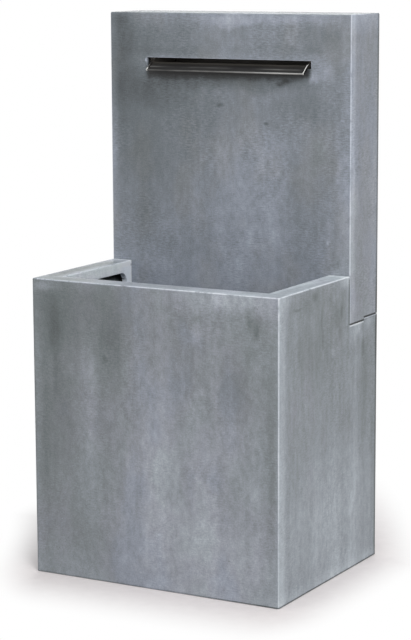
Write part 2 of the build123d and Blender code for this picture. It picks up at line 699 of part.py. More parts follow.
# Foam seal between the tray and the tower's front, open round the slot
seal_side = WEIR_SIDE + EAR_WIDTH
seal_window = SLOT_WIDTH / 2
with BuildPart() as weir_gasket:
    with BuildSketch(facing_back(0, REAR_WALL_OUT, 0)):
        with Locations((0, (ear_bottom + ear_top) / 2)):
            Rectangle(2 * seal_side, ear_top - ear_bottom)
        with Locations((0, (SLOT_BOTTOM + ear_top) / 2)):
            Rectangle(2 * seal_window, ear_top - SLOT_BOTTOM, mode=Mode.SUBTRACT)
    extrude(amount=WEIR_GASKET)
    drill([seat.offset(-WEIR_SHEET) for seat in weir_seats],
          WEIR_SCREW + 2 * SCREW_CLEARANCE, WEIR_GASKET)
finish(weir_gasket, "weir_gasket")

weir_screw_length = WEIR_SHEET + WEIR_GASKET + SCREW_BITE - SCREW_CLEARANCE
weir_screws = pan_screws(
    weir_seats, WEIR_SCREW, weir_screw_length, WEIR_SCREW_HEAD, WEIR_SCREW_HEAD_HEIGHT
)
finish(weir_screws, "weir_screws")

# Lid over the tray, with a skirt round the ends and the back
lid_side = WEIR_SIDE + LID_CLEARANCE + LID_SHEET
lid_back = tray_back + LID_CLEARANCE + LID_SHEET
with BuildPart() as weir_lid:
    with BuildSketch(Plane.XY.offset(WEIR_TOP - LID_SKIRT)):
        with Locations((0, (WEIR_FRONT + lid_back) / 2)):
            Rectangle(2 * lid_side, lid_back - WEIR_FRONT)
    extrude(amount=LID_SKIRT + LID_SHEET)
    with BuildSketch(Plane.XY.offset(WEIR_TOP - LID_SKIRT)):
        with Locations((0, (WEIR_FRONT + tray_back + LID_CLEARANCE) / 2)):
            Rectangle(2 * (lid_side - LID_SHEET), tray_back + LID_CLEARANCE - WEIR_FRONT)
    extrude(amount=LID_SKIRT, mode=Mode.SUBTRACT)
finish(weir_lid, "weir_lid")

# Inlet fitting through the tray's floor: flange inside, nut below, socket for the riser
weir_inlet_bottom = facing_up(0, RISER_Y, WEIR_INLET_BOTTOM)
weir_barrel_top = WEIR_FLOOR + WEIR_SHEET / 2
with BuildPart() as weir_inlet:
    with BuildSketch(weir_inlet_bottom):
        Circle(BULKHEAD_BARREL / 2)
    extrude(amount=weir_barrel_top - WEIR_INLET_BOTTOM)
    with BuildSketch(weir_inlet_seat):
        Circle(WEIR_INLET_FLANGE / 2)
    extrude(amount=BULKHEAD_FLANGE_THICKNESS)
    with BuildSketch(weir_inlet_seat.offset(BULKHEAD_FLANGE_THICKNESS)):
        Circle(PIPE_OD / 2)
    extrude(amount=DIFFUSER_SPIGOT)
    with BuildSketch(weir_inlet_bottom):
        Circle(SOCKET_BORE / 2)
    extrude(amount=SOCKET_DEPTH, mode=Mode.SUBTRACT)
    with BuildSketch(weir_inlet_bottom):
        Circle(PIPE_BORE / 2)
    extrude(
        amount=weir_barrel_top + BULKHEAD_FLANGE_THICKNESS + DIFFUSER_SPIGOT - WEIR_INLET_BOTTOM,
        mode=Mode.SUBTRACT,
    )
finish(weir_inlet, "weir_inlet")

weir_inlet_nut = hex_nut(
    facing_up(0, RISER_Y, WEIR_FLOOR - WEIR_SHEET / 2 - NUT_THICKNESS),
    NUT_ACROSS_FLATS, BULKHEAD_BARREL + 2 * THREAD_CLEARANCE, NUT_THICKNESS,
)
finish(weir_inlet_nut, "weir_inlet_nut")

# Diffuser: a slotted pipe along the tray on a central stub
diffuser_axis = WEIR_FLOOR + WEIR_SHEET / 2 + DIFFUSER_RISE
stub_bottom = weir_barrel_top + BULKHEAD_FLANGE_THICKNESS
diffuser_end = facing_right(-DIFFUSER_LENGTH / 2, RISER_Y, diffuser_axis)
with BuildPart() as diffuser_pipe:
    with BuildSketch(diffuser_end):
        Circle(DIFFUSER_OD / 2)
    extrude(amount=DIFFUSER_LENGTH)
    with BuildSketch(facing_up(0, RISER_Y, stub_bottom)):
        Circle(FITTING_OD / 2)
    extrude(amount=diffuser_axis - stub_bottom)
    with BuildSketch(diffuser_end):
        Circle(DIFFUSER_BORE / 2)
    extrude(amount=DIFFUSER_LENGTH, mode=Mode.SUBTRACT)
    with BuildSketch(facing_up(0, RISER_Y, stub_bottom)):
        Circle(SOCKET_BORE / 2)
    extrude(amount=diffuser_axis - stub_bottom, mode=Mode.SUBTRACT)
    with BuildSketch(facing_up(0, RISER_Y, diffuser_axis)):
        with GridLocations(DIFFUSER_SLOT_PITCH, 1, DIFFUSER_SLOTS, 1):
            SlotOverall(DIFFUSER_SLOT_LENGTH, DIFFUSER_SLOT_WIDTH)
    extrude(amount=DIFFUSER_OD, mode=Mode.SUBTRACT)
finish(diffuser_pipe, "diffuser_pipe")

cap_outer = DIFFUSER_OD + 2 * SOCKET_CLEARANCE + 2 * CAP_WALL
with BuildPart() as diffuser_caps:
    for side in (-1, 1):
        end_face = facing_right(side * DIFFUSER_LENGTH / 2, RISER_Y, diffuser_axis)
        with BuildSketch(end_face):
            Circle(cap_outer / 2)
        extrude(amount=side * CAP_WALL)
        with BuildSketch(end_face):
            Circle(cap_outer / 2)
            Circle(DIFFUSER_OD / 2 + SOCKET_CLEARANCE, mode=Mode.SUBTRACT)
        extrude(amount=-side * CAP_DEPTH)
finish(diffuser_caps, "diffuser_caps")

# Riser in the tower, which lifts off the spigot below
riser_pipe = pipe(facing_up(0, RISER_Y, RISER_BOTTOM), RISER_TOP - RISER_BOTTOM)
finish(riser_pipe, "riser_pipe")

riser_coupling = coupling(
    facing_up(0, RISER_Y, SLIP_STOP - SLIP_DEPTH), SLIP_BORE, SLIP_DEPTH, SOCKET_DEPTH
)
finish(riser_coupling, "riser_coupling")

# Spring clips on posts, which hold the riser off the tower's front
clip_bore = PIPE_OD + 2 * SOCKET_CLEARANCE
with BuildPart() as riser_clips:
    for height in CLIP_HEIGHTS:
        with BuildSketch(facing_back(0, REAR_WALL_OUT, height)):
            Rectangle(CLIP_PLATE, CLIP_PLATE_HEIGHT)
        extrude(amount=CLIP_WALL)
        with BuildSketch(facing_back(0, REAR_WALL_OUT, height)):
            Rectangle(CLIP_POST, CLIP_WIDTH)
        extrude(amount=RISER_Y - PIPE_OD / 2 - CLIP_WALL / 2 - REAR_WALL_OUT)
        with BuildSketch(facing_up(0, RISER_Y, height - CLIP_WIDTH / 2)):
            Circle(clip_bore / 2 + CLIP_WALL)
        extrude(amount=CLIP_WIDTH)
        with BuildSketch(facing_up(0, RISER_Y, height - CLIP_WIDTH / 2)):
            Circle(clip_bore / 2)
            with Locations((0, clip_bore / 2)):
                Rectangle(CLIP_MOUTH, clip_bore)
        extrude(amount=CLIP_WIDTH, mode=Mode.SUBTRACT)
    drill(clip_seats, CLIP_SCREW + 2 * SCREW_CLEARANCE, CLIP_WALL)
finish(riser_clips, "riser_clips")

clip_screw_length = CLIP_WALL + SCREW_BITE - SCREW_CLEARANCE
clip_screws = pan_screws(
    clip_seats, CLIP_SCREW, clip_screw_length, CLIP_SCREW_HEAD, CLIP_SCREW_HEAD_HEIGHT
)
finish(clip_screws, "clip_screws")

# Spigot that stands up from the chamber, with a sealing ring in a groove near its top
spigot_bottom = SUPPLY_HEIGHT + ELBOW_BEND
ring_height = SPIGOT_TOP - ORING_DROP
groove_floor = PIPE_OD / 2 + SLIP_CLEARANCE - ORING_SECTION - 2 * ORING_SQUEEZE
with BuildPart() as riser_spigot:
    with BuildSketch(facing_up(0, RISER_Y, spigot_bottom)):
        Circle(PIPE_OD / 2)
        Circle(PIPE_BORE / 2, mode=Mode.SUBTRACT)
    extrude(amount=SPIGOT_TOP - spigot_bottom)
    groove_height = ORING_SECTION + 2 * SOCKET_CLEARANCE
    with BuildSketch(facing_up(0, RISER_Y, ring_height - groove_height / 2)):
        Circle(PIPE_OD / 2)
        Circle(groove_floor, mode=Mode.SUBTRACT)
    extrude(amount=groove_height, mode=Mode.SUBTRACT)
finish(riser_spigot, "riser_spigot")

with BuildPart() as spigot_oring:
    with BuildSketch(Plane(origin=(0, RISER_Y, ring_height), x_dir=(1, 0, 0), z_dir=(0, -1, 0))):
        with Locations((groove_floor + ORING_SQUEEZE + ORING_SECTION / 2, 0)):
            Circle(ORING_SECTION / 2)
    revolve(axis=Axis((0, RISER_Y, 0), (0, 0, 1)))
finish(spigot_oring, "spigot_oring")

# Elbow and nipple in the service chamber
chamber_elbow = elbow(
    (0, RISER_Y - ELBOW_ARM, SUPPLY_HEIGHT),
    (0, RISER_Y, SUPPLY_HEIGHT),
    (0, RISER_Y, SUPPLY_HEIGHT + ELBOW_ARM),
)
finish(chamber_elbow, "chamber_elbow")

nipple_start = BULKHEAD_STOP + FITTING_STOP
chamber_nipple = pipe(
    facing_back(0, nipple_start, SUPPLY_HEIGHT),
    RISER_Y - ELBOW_ARM + SOCKET_DEPTH - nipple_start,
)
finish(chamber_nipple, "chamber_nipple")

# Bulkhead fitting through the basin's rear wall
with BuildPart() as bulkhead_body:
    with BuildSketch(facing_back(0, BULKHEAD_FRONT, SUPPLY_HEIGHT)):
        Circle(BULKHEAD_FLANGE / 2)
    extrude(amount=BULKHEAD_FLANGE_THICKNESS)
    with BuildSketch(facing_back(0, BULKHEAD_FRONT, SUPPLY_HEIGHT)):
        Circle(BULKHEAD_BARREL / 2)
    extrude(amount=BULKHEAD_END - BULKHEAD_FRONT)
    drill([facing_back(0, BULKHEAD_END, SUPPLY_HEIGHT)], PIPE_BORE, BULKHEAD_END - BULKHEAD_FRONT)
    drill([facing_back(0, BULKHEAD_END, SUPPLY_HEIGHT)], SOCKET_BORE, SOCKET_DEPTH)
    drill([facing_back(0, BULKHEAD_STOP, SUPPLY_HEIGHT)], SOCKET_BORE, SOCKET_DEPTH)
finish(bulkhead_body, "bulkhead_body")

bulkhead_gasket = washer(
    facing_back(0, TOWER_FACE - BULKHEAD_GASKET, SUPPLY_HEIGHT),
    BULKHEAD_FLANGE, BULKHEAD_BARREL + 2 * HOLE_CLEARANCE, BULKHEAD_GASKET,
)
finish(bulkhead_gasket, "bulkhead_gasket")

bulkhead_nut = hex_nut(
    bulkhead_seat, NUT_ACROSS_FLATS, BULKHEAD_BARREL + 2 * THREAD_CLEARANCE, NUT_THICKNESS
)
finish(bulkhead_nut, "bulkhead_nut")

# Supply line in the basin, from the pump up to the bulkhead
supply_nipple_start = SUPPLY_Y + ELBOW_BEND
supply_nipple = pipe(
    facing_back(0, supply_nipple_start, SUPPLY_HEIGHT), BULKHEAD_STOP - supply_nipple_start
)
finish(supply_nipple, "supply_nipple")

supply_elbow = elbow(
    (0, SUPPLY_Y, SUPPLY_HEIGHT - ELBOW_ARM),
    (0, SUPPLY_Y, SUPPLY_HEIGHT),
    (0, SUPPLY_Y + ELBOW_ARM, SUPPLY_HEIGHT),
)
finish(supply_elbow, "supply_elbow")

upper_pipe_bottom = VALVE_HEIGHT + VALVE_HALF - SOCKET_DEPTH
upper_pipe = pipe(
    facing_up(0, SUPPLY_Y, upper_pipe_bottom), SUPPLY_HEIGHT - ELBOW_BEND - upper_pipe_bottom
)
finish(upper_pipe, "upper_pipe")

lift_pipe_bottom = OUTLET_TOP + FITTING_STOP
lift_pipe = pipe(
    facing_up(0, SUPPLY_Y, lift_pipe_bottom),
    VALVE_HEIGHT - VALVE_HALF + SOCKET_DEPTH - lift_pipe_bottom,
)
finish(lift_pipe, "lift_pipe")

outlet_coupling = coupling(
    facing_up(0, SUPPLY_Y, OUTLET_TOP - SOCKET_DEPTH), SOCKET_BORE, SOCKET_DEPTH, SOCKET_DEPTH
)
finish(outlet_coupling, "outlet_coupling")

# Ball valve: body with a stem boss that faces the front
ball_chamber = BALL_DIAMETER + 2 * BALL_GAP
valve_bottom = facing_up(0, SUPPLY_Y, VALVE_HEIGHT - VALVE_HALF)
valve_top = facing_up(0, SUPPLY_Y, VALVE_HEIGHT + VALVE_HALF)
stem_front = Plane(origin=(0, SUPPLY_Y, VALVE_HEIGHT), x_dir=(1, 0, 0), z_dir=(0, -1, 0))
with BuildPart() as valve_body:
    with BuildSketch(valve_bottom):
        Circle(FITTING_OD / 2)
    extrude(amount=2 * VALVE_HALF)
    with BuildSketch(facing_up(0, SUPPLY_Y, VALVE_HEIGHT - VALVE_BARREL_HALF)):
        Circle(VALVE_BARREL / 2)
    extrude(amount=2 * VALVE_BARREL_HALF)
    with BuildSketch(stem_front):
        Circle(BOSS_DIAMETER / 2)
    extrude(amount=BOSS_REACH)
    drill([valve_top], PIPE_BORE, 2 * VALVE_HALF)
    drill([valve_top, valve_bottom.offset(SOCKET_DEPTH)], SOCKET_BORE, SOCKET_DEPTH)
    with BuildSketch(facing_up(0, SUPPLY_Y, VALVE_HEIGHT - BALL_CHAMBER_HALF)):
        Circle(ball_chamber / 2)
    extrude(amount=2 * BALL_CHAMBER_HALF, mode=Mode.SUBTRACT)
    drill([stem_front.offset(BOSS_REACH)], STEM_DIAMETER + 2 * STEM_CLEARANCE, BOSS_REACH)
finish(valve_body, "valve_body")

# Seat rings above and below the ball, hollowed to its curve
with BuildPart() as valve_seats:
    for bottom in (
        VALVE_HEIGHT - BALL_CHAMBER_HALF,
        VALVE_HEIGHT + BALL_CHAMBER_HALF - SEAT_THICKNESS,
    ):
        with BuildSketch(facing_up(0, SUPPLY_Y, bottom)):
            Circle(ball_chamber / 2 - SOCKET_CLEARANCE)
            Circle(PIPE_BORE / 2, mode=Mode.SUBTRACT)
        extrude(amount=SEAT_THICKNESS)
    with Locations((0, SUPPLY_Y, VALVE_HEIGHT)):
        Sphere(ball_chamber / 2, mode=Mode.SUBTRACT)
finish(valve_seats, "valve_seats")

# Ball with its through bore and the slot for the stem, stored open
with BuildPart() as valve_ball:
    with Locations((0, SUPPLY_Y, VALVE_HEIGHT)):
        Sphere(BALL_DIAMETER / 2)
    drill([facing_up(0, SUPPLY_Y, VALVE_HEIGHT + BALL_DIAMETER)], PIPE_BORE, 2 * BALL_DIAMETER)
    drill([stem_front.offset(BALL_DIAMETER / 2)], STEM_DIAMETER, STEM_TANG)
finish(valve_ball, "valve_ball")

stem_inner = BALL_DIAMETER / 2 - STEM_TANG
stem_outer = BOSS_REACH + HANDLE_GAP + HANDLE_THICKNESS / 2
with BuildPart() as valve_stem:
    with BuildSketch(stem_front.offset(stem_inner)):
        Circle(STEM_DIAMETER / 2)
    extrude(amount=stem_outer - stem_inner)
    drill([stem_front.offset(stem_outer)], HANDLE_SCREW + 2 * SCREW_CLEARANCE, HANDLE_SCREW_LENGTH)
finish(valve_stem, "valve_stem")

handle_rear = stem_front.offset(BOSS_REACH + HANDLE_GAP)
with BuildPart() as valve_handle:
    with BuildSketch(handle_rear):
        Circle(HANDLE_HUB / 2)
        with Locations((0, HANDLE_LENGTH / 2)):
            SlotOverall(HANDLE_LENGTH + HANDLE_WIDTH, HANDLE_WIDTH, rotation=90)
    extrude(amount=HANDLE_THICKNESS)
    fillet(valve_handle.faces().sort_by(Axis.Y)[0].edges(), HANDLE_EDGE)
    drill([handle_rear.offset(HANDLE_THICKNESS / 2)], STEM_DIAMETER, HANDLE_THICKNESS / 2)
    drill([handle_rear.offset(HANDLE_THICKNESS)], HANDLE_SCREW + 2 * SCREW_CLEARANCE, HANDLE_THICKNESS)
finish(valve_handle, "valve_handle")

handle_screw = pan_screws(
    [handle_rear.offset(HANDLE_THICKNESS)],
    HANDLE_SCREW, HANDLE_SCREW_LENGTH, HANDLE_SCREW_HEAD, HANDLE_SCREW_HEAD_HEIGHT,
)
finish(handle_screw, "handle_screw")

# Union nuts with finger grips, one at each end of the valve
with BuildPart() as valve_nuts:
    for bottom in (
        VALVE_HEIGHT - VALVE_BARREL_HALF - SLIP_CLEARANCE - UNION_NUT_LENGTH,
        VALVE_HEIGHT + VALVE_BARREL_HALF + SLIP_CLEARANCE,
    ):
        with BuildSketch(facing_up(0, SUPPLY_Y, bottom)):
            Circle(UNION_NUT / 2)
            with PolarLocations(UNION_NUT / 2, UNION_NUT_GRIPS):
                Circle(UNION_NUT_GRIP / 2, mode=Mode.SUBTRACT)
            Circle(FITTING_OD / 2 + THREAD_CLEARANCE, mode=Mode.SUBTRACT)
        extrude(amount=UNION_NUT_LENGTH)
finish(valve_nuts, "valve_nuts")

# Pump on four suction cups, its axis along the trough and its outlet upwards
pump_base_x = PUMP_BASE_SHIFT
cup_spots = GridLocations(CUP_PITCH_X, CUP_PITCH_Y, 2, 2).local_locations
with BuildPart() as pump_base:
    with BuildSketch(facing_up(pump_base_x, SUPPLY_Y, FLOOR_TOP + CUP_HEIGHT)):
        RectangleRounded(PUMP_BASE_LENGTH, PUMP_BASE_WIDTH, PUMP_BASE_CORNER)
        with GridLocations(CUP_PITCH_X, CUP_PITCH_Y, 2, 2):
            Circle(CUP_STEM / 2 + CUP_HOLE_CLEARANCE, mode=Mode.SUBTRACT)
    extrude(amount=PUMP_BASE_THICKNESS)
finish(pump_base, "pump_base")

# Suction cups: a dished foot, a stem through the base and a head that keeps it there
stem_top = CUP_HEIGHT + PUMP_BASE_THICKNESS
with BuildPart() as suction_cups:
    for spot in cup_spots:
        cup_x = pump_base_x + spot.position.X
        cup_y = SUPPLY_Y + spot.position.Y
        with BuildSketch(Plane(origin=(cup_x, cup_y, FLOOR_TOP), x_dir=(1, 0, 0), z_dir=(0, -1, 0))):
            with BuildLine():
                Polyline(
                    (0, CUP_DISH),
                    (CUP_DIAMETER / 2 - CUP_DISH, 0),
                    (CUP_DIAMETER / 2, 0),
                    (CUP_NECK / 2, CUP_HEIGHT),
                    (CUP_STEM / 2, CUP_HEIGHT),
                    (CUP_STEM / 2, stem_top),
                    (CUP_HEAD / 2, stem_top),
                    (CUP_STEM / 2, stem_top + CUP_STEM / 2),
                    (0, stem_top + CUP_STEM / 2),
                    close=True,
                )
            make_face()
        revolve(axis=Axis((cup_x, cup_y, FLOOR_TOP), (0, 0, 1)))
finish(suction_cups, "suction_cups")

# Volute: impeller chamber open to the front, outlet spigot on top
cover_screw_seats = []
for spot in PolarLocations(COVER_SCREW_CIRCLE / 2, 4, start_angle=45).local_locations:
    cover_screw_seats.append(
        facing_right(STRAINER_X, SUPPLY_Y + spot.position.X, PUMP_AXIS + spot.position.Y)
    )
pump_axis_right = facing_right(0, SUPPLY_Y, PUMP_AXIS)
with BuildPart() as pump_volute:
    with BuildSketch(pump_axis_right.offset(MOTOR_X)):
        Circle(VOLUTE_DIAMETER / 2)
        with Locations((0, -VOLUTE_DIAMETER / 4)):
            Rectangle(VOLUTE_FOOT, VOLUTE_DIAMETER / 2)
    extrude(amount=VOLUTE_LENGTH)
    with BuildSketch(facing_up(0, SUPPLY_Y, PUMP_AXIS)):
        Circle(PIPE_OD / 2)
    extrude(amount=OUTLET_TOP - PUMP_AXIS)
    drill([pump_axis_right.offset(COVER_X)], CHAMBER_DIAMETER, COVER_X - CHAMBER_X)
    drill([pump_axis_right.offset(CHAMBER_X)], ROTOR_WELL, VOLUTE_REAR_WALL)
    drill([facing_up(0, SUPPLY_Y, OUTLET_TOP)], OUTLET_BORE, OUTLET_TOP - PUMP_AXIS)
    drill([seat.offset(-COVER_THICKNESS) for seat in cover_screw_seats],
          COVER_SCREW + 2 * SCREW_CLEARANCE, COVER_SCREW_LENGTH - COVER_THICKNESS)
finish(pump_volute, "pump_volute")

# Front cover: the inlet eye, crossed by a spider that carries the shaft
with BuildPart() as pump_front_cover:
    with BuildSketch(pump_axis_right.offset(COVER_X)):
        Circle(VOLUTE_DIAMETER / 2)
        Circle(EYE_DIAMETER / 2, mode=Mode.SUBTRACT)
        Rectangle(EYE_DIAMETER, SPIDER_ARM)
        Rectangle(SPIDER_ARM, EYE_DIAMETER)
        Circle(SPIDER_HUB / 2)
        Circle(HOLDER_DIAMETER / 2, mode=Mode.SUBTRACT)
    extrude(amount=COVER_THICKNESS)
    drill(cover_screw_seats, COVER_SCREW + 2 * SCREW_CLEARANCE, COVER_THICKNESS)
finish(pump_front_cover, "pump_front_cover")

pump_cover_screws = pan_screws(
    cover_screw_seats, COVER_SCREW, COVER_SCREW_LENGTH - SCREW_CLEARANCE,
    COVER_SCREW_HEAD, COVER_SCREW_HEAD_HEIGHT,
)
finish(pump_cover_screws, "pump_cover_screws")

# Motor housing: a rounded box with cooling fins and a blind well for the rotor
with BuildPart() as pump_motor:
    with BuildSketch(pump_axis_right.offset(MOTOR_X - MOTOR_LENGTH)):
        RectangleRounded(MOTOR_SIZE, MOTOR_SIZE, MOTOR_CORNER)
    extrude(amount=MOTOR_LENGTH)
    for fin in range(MOTOR_FINS):
        with BuildSketch(pump_axis_right.offset(MOTOR_X - FIN_PITCH * (fin + 1))):
            RectangleRounded(FIN_WIDTH, VOLUTE_DIAMETER, MOTOR_CORNER)
        extrude(amount=FIN_THICKNESS)
    drill([pump_axis_right.offset(MOTOR_X)], ROTOR_WELL, WELL_DEPTH)
finish(pump_motor, "pump_motor")

# Strainer: a slotted box over the pump's inlet
with BuildPart() as pump_strainer:
    with BuildSketch(pump_axis_right.offset(STRAINER_X)):
        RectangleRounded(STRAINER_SIZE, STRAINER_SIZE, STRAINER_CORNER)
    extrude(amount=STRAINER_LENGTH)
    with BuildSketch(pump_axis_right.offset(STRAINER_X)):
        inner_size = STRAINER_SIZE - 2 * STRAINER_WALL
        RectangleRounded(inner_size, inner_size, STRAINER_CORNER - STRAINER_WALL)
    extrude(amount=STRAINER_LENGTH - STRAINER_WALL, mode=Mode.SUBTRACT)
    slot_x = STRAINER_X + STRAINER_LENGTH / 2
    slot_planes = (
        Plane(origin=(slot_x, SUPPLY_Y, PUMP_AXIS), x_dir=(1, 0, 0), z_dir=(0, -1, 0)),
        facing_up(slot_x, SUPPLY_Y, PUMP_AXIS),
    )
    for middle in slot_planes:
        with BuildSketch(middle):
            with GridLocations(STRAINER_SLOT_PITCH, 1, STRAINER_SLOTS, 1):
                SlotOverall(STRAINER_SLOT_LENGTH, STRAINER_SLOT, rotation=90)
        extrude(amount=STRAINER_SIZE, both=True, mode=Mode.SUBTRACT)
    with BuildSketch(pump_axis_right.offset(STRAINER_X + STRAINER_LENGTH)):
        with GridLocations(STRAINER_SLOT_PITCH, 1, STRAINER_SLOTS, 1):
            SlotOverall(STRAINER_SLOT_LENGTH, STRAINER_SLOT, rotation=90)
    extrude(amount=-STRAINER_WALL, mode=Mode.SUBTRACT)
finish(pump_strainer, "pump_strainer")

# Gland in the motor's rear face, where the lead enters
with BuildPart() as pump_cord_gland:
    gland_face = facing_right(MOTOR_X - MOTOR_LENGTH, SUPPLY_Y, PUMP_AXIS + GLAND_RISE)
    with BuildSketch(gland_face):
        RegularPolygon(GLAND_DIAMETER / 2, 6, major_radius=False)
    extrude(amount=-GLAND_LENGTH)
    with BuildSketch(gland_face.offset(-GLAND_LENGTH)):
        Circle(GLAND_NECK / 2)
    extrude(amount=-GLAND_LENGTH)
    with BuildSketch(gland_face.offset(-2 * GLAND_LENGTH)):
        Circle(GLAND_BORE / 2)
    extrude(amount=GLAND_LENGTH, mode=Mode.SUBTRACT)
finish(pump_cord_gland, "pump_cord_gland")

# Fixed shaft, held in a rubber holder at each end
holder_front = STRAINER_X - HOLDER_LENGTH
with BuildPart() as shaft_holders:
    for start in (WELL_END, holder_front):
        with BuildSketch(pump_axis_right.offset(start)):
            Circle(HOLDER_DIAMETER / 2)
            Circle(SHAFT_DIAMETER / 2, mode=Mode.SUBTRACT)
        extrude(amount=HOLDER_LENGTH)
finish(shaft_holders, "shaft_holders")

with BuildPart() as rotor_shaft:
    with BuildSketch(pump_axis_right.offset(WELL_END)):
        Circle(SHAFT_DIAMETER / 2)
    extrude(amount=STRAINER_X - WELL_END)
finish(rotor_shaft, "rotor_shaft")

# Rotor: magnet and impeller turn together on the shaft
rotor_bore = SHAFT_DIAMETER + 2 * SHAFT_CLEARANCE
rotor_start = WELL_END + HOLDER_LENGTH + ROTOR_END_GAP
rotor_magnet = washer(
    pump_axis_right.offset(rotor_start), ROTOR_DIAMETER, rotor_bore, IMPELLER_X - rotor_start
)
finish(rotor_magnet, "rotor_magnet")

with BuildPart() as impeller:
    with BuildSketch(pump_axis_right.offset(IMPELLER_X)):
        Circle(IMPELLER_DIAMETER / 2)
    extrude(amount=IMPELLER_PLATE)
    with BuildSketch(pump_axis_right.offset(IMPELLER_X + IMPELLER_PLATE)):
        Circle(HUB_DIAMETER / 2)
        with PolarLocations((IMPELLER_DIAMETER - BLADE_LENGTH) / 2 - BLADE_THICKNESS, IMPELLER_BLADES):
            SlotOverall(BLADE_LENGTH, BLADE_THICKNESS, rotation=BLADE_SWEEP)
    extrude(amount=BLADE_HEIGHT)
    drill([pump_axis_right.offset(COVER_X)], rotor_bore, VOLUTE_LENGTH)
finish(impeller, "impeller")

# Drain in the floor: flanged fitting, gasket, nut below, and a stopper that pulls out
drain_bottom = FLOOR_BOTTOM - DRAIN_PAST_FLOOR
flange_bottom = FLOOR_TOP + DRAIN_GASKET
flange_top = flange_bottom + DRAIN_FLANGE_THICKNESS
with BuildPart() as drain_fitting:
    with BuildSketch(facing_up(0, DRAIN_Y, drain_bottom)):
        Circle(DRAIN_BARREL / 2)
    extrude(amount=flange_bottom - drain_bottom)
    with BuildSketch(facing_up(0, DRAIN_Y, flange_bottom)):
        Circle(DRAIN_FLANGE / 2)
    extrude(amount=DRAIN_FLANGE_THICKNESS)
    drill([facing_up(0, DRAIN_Y, flange_top)], DRAIN_BORE, flange_top - drain_bottom)
finish(drain_fitting, "drain_fitting")

drain_gasket = washer(
    drain_seat, DRAIN_FLANGE, DRAIN_BARREL + 2 * HOLE_CLEARANCE, DRAIN_GASKET
)
finish(drain_gasket, "drain_gasket")

drain_nut = hex_nut(
    facing_up(0, DRAIN_Y, FLOOR_BOTTOM - DRAIN_NUT_THICKNESS),
    NUT_ACROSS_FLATS, DRAIN_BARREL + 2 * THREAD_CLEARANCE, DRAIN_NUT_THICKNESS,
)
finish(drain_nut, "drain_nut")

plug_side = DRAIN_BORE / 2 - PLUG_CLEARANCE
knob_bottom = PLUG_RIM_THICKNESS + PLUG_STEM_HEIGHT
knob_top = knob_bottom + PLUG_KNOB_THICKNESS
with BuildPart() as drain_plug:
    with BuildSketch(Plane(origin=(0, DRAIN_Y, flange_top), x_dir=(1, 0, 0), z_dir=(0, -1, 0))):
        with BuildLine():
            Polyline(
                (0, -PLUG_DEPTH),
                (plug_side - PLUG_TAPER, -PLUG_DEPTH),
                (plug_side, 0),
                (PLUG_RIM / 2, 0),
                (PLUG_RIM / 2, PLUG_RIM_THICKNESS),
                (PLUG_STEM / 2, PLUG_RIM_THICKNESS),
                (PLUG_STEM / 2, knob_bottom),
                (PLUG_KNOB / 2, knob_bottom),
                (PLUG_KNOB / 2, knob_top),
                (0, knob_top),
                close=True,
            )
        make_face()
    revolve(axis=Axis((0, DRAIN_Y, 0), (0, 0, 1)))
finish(drain_plug, "drain_plug")
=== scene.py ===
"""Looks of the trough fountain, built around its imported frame.

Metres, +Z up, the front faces -Y. Each finish is drawn in the frame's coordinates, so it travels
with its body when the tower is lifted or a valve is turned.
"""

import math
from functools import reduce
import bpy
from mathutils import Matrix, Vector


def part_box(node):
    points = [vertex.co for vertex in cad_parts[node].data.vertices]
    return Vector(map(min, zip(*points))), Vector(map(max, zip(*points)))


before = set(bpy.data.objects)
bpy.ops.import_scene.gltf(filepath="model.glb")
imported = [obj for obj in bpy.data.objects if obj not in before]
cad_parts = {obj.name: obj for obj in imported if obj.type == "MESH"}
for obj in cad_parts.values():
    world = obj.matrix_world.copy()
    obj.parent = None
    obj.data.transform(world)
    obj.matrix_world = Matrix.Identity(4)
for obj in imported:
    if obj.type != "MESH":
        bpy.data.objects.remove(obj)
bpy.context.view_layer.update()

# Where the castings and the weir lie, from the frame
trough_low, trough_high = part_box("trough_shell")
tower_low, tower_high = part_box("tower_shell")
panel_low, panel_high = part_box("tower_back_panel")
weir_low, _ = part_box("weir_tray")

# Details of the castings that the boxes don't give
SKIN = 0.013
RIM_WIDTH = 0.050
NOTCH_FACE = 0.0972
SEAM_STEP = 0.0065
SEAM_STEP_PLACE = 0.170
SEAM_GAP = 0.002
SLOT_HALF_WIDTH = 0.208
SLOT_BOTTOM = 1.1155
SLOT_TOP = 1.1340

# The photograph's camera: 411 x 640 pixels, with the sensor's width along the long side
CAMERA_PLACE = Vector((2.33593, -4.17771, 1.38396))
CAMERA_TARGET = Vector((-0.00452, 0.0, 0.55916))
CAMERA_ROLL = math.radians(-0.277)
CAMERA_LENS = 122.389
SENSOR_WIDTH = 36.0


def linear(red, green, blue):
    """A colour in screen values from 0 to 255, as the linear colour that a shader takes."""
    shares = [value / 255 for value in (red, green, blue)]
    curve = [s / 12.92 if s <= 0.04045 else ((s + 0.055) / 1.055) ** 2.4 for s in shares]
    return (*curve, 1.0)


WHITE = linear(255, 255, 255)


class Socket:
    """One output of a finish's nodes. Python's operators on it add Math nodes."""

    def __init__(self, finish, output):
        self.finish = finish
        self.output = output

    def __add__(self, other):
        return self.finish.math("ADD", self, other)

    def __sub__(self, other):
        return self.finish.math("SUBTRACT", self, other)

    def __rsub__(self, other):
        return self.finish.math("SUBTRACT", other, self)

    def __mul__(self, other):
        return self.finish.math("MULTIPLY", self, other)

    def __truediv__(self, other):
        return self.finish.math("DIVIDE", self, other)

    def __abs__(self):
        return self.finish.math("ABSOLUTE", self)

    __radd__ = __add__
    __rmul__ = __mul__


# How marks are drawn out of true, from each least size up: waves per metre, and how far a mark is
# drawn along its face and up it
WARPS = (
    (0.065, (9.0, 0.040, 0.090)),
    (0.020, (17.0, 0.024, 0.060)),
    (0.0, (60.0, 0.012, 0.012)),
)


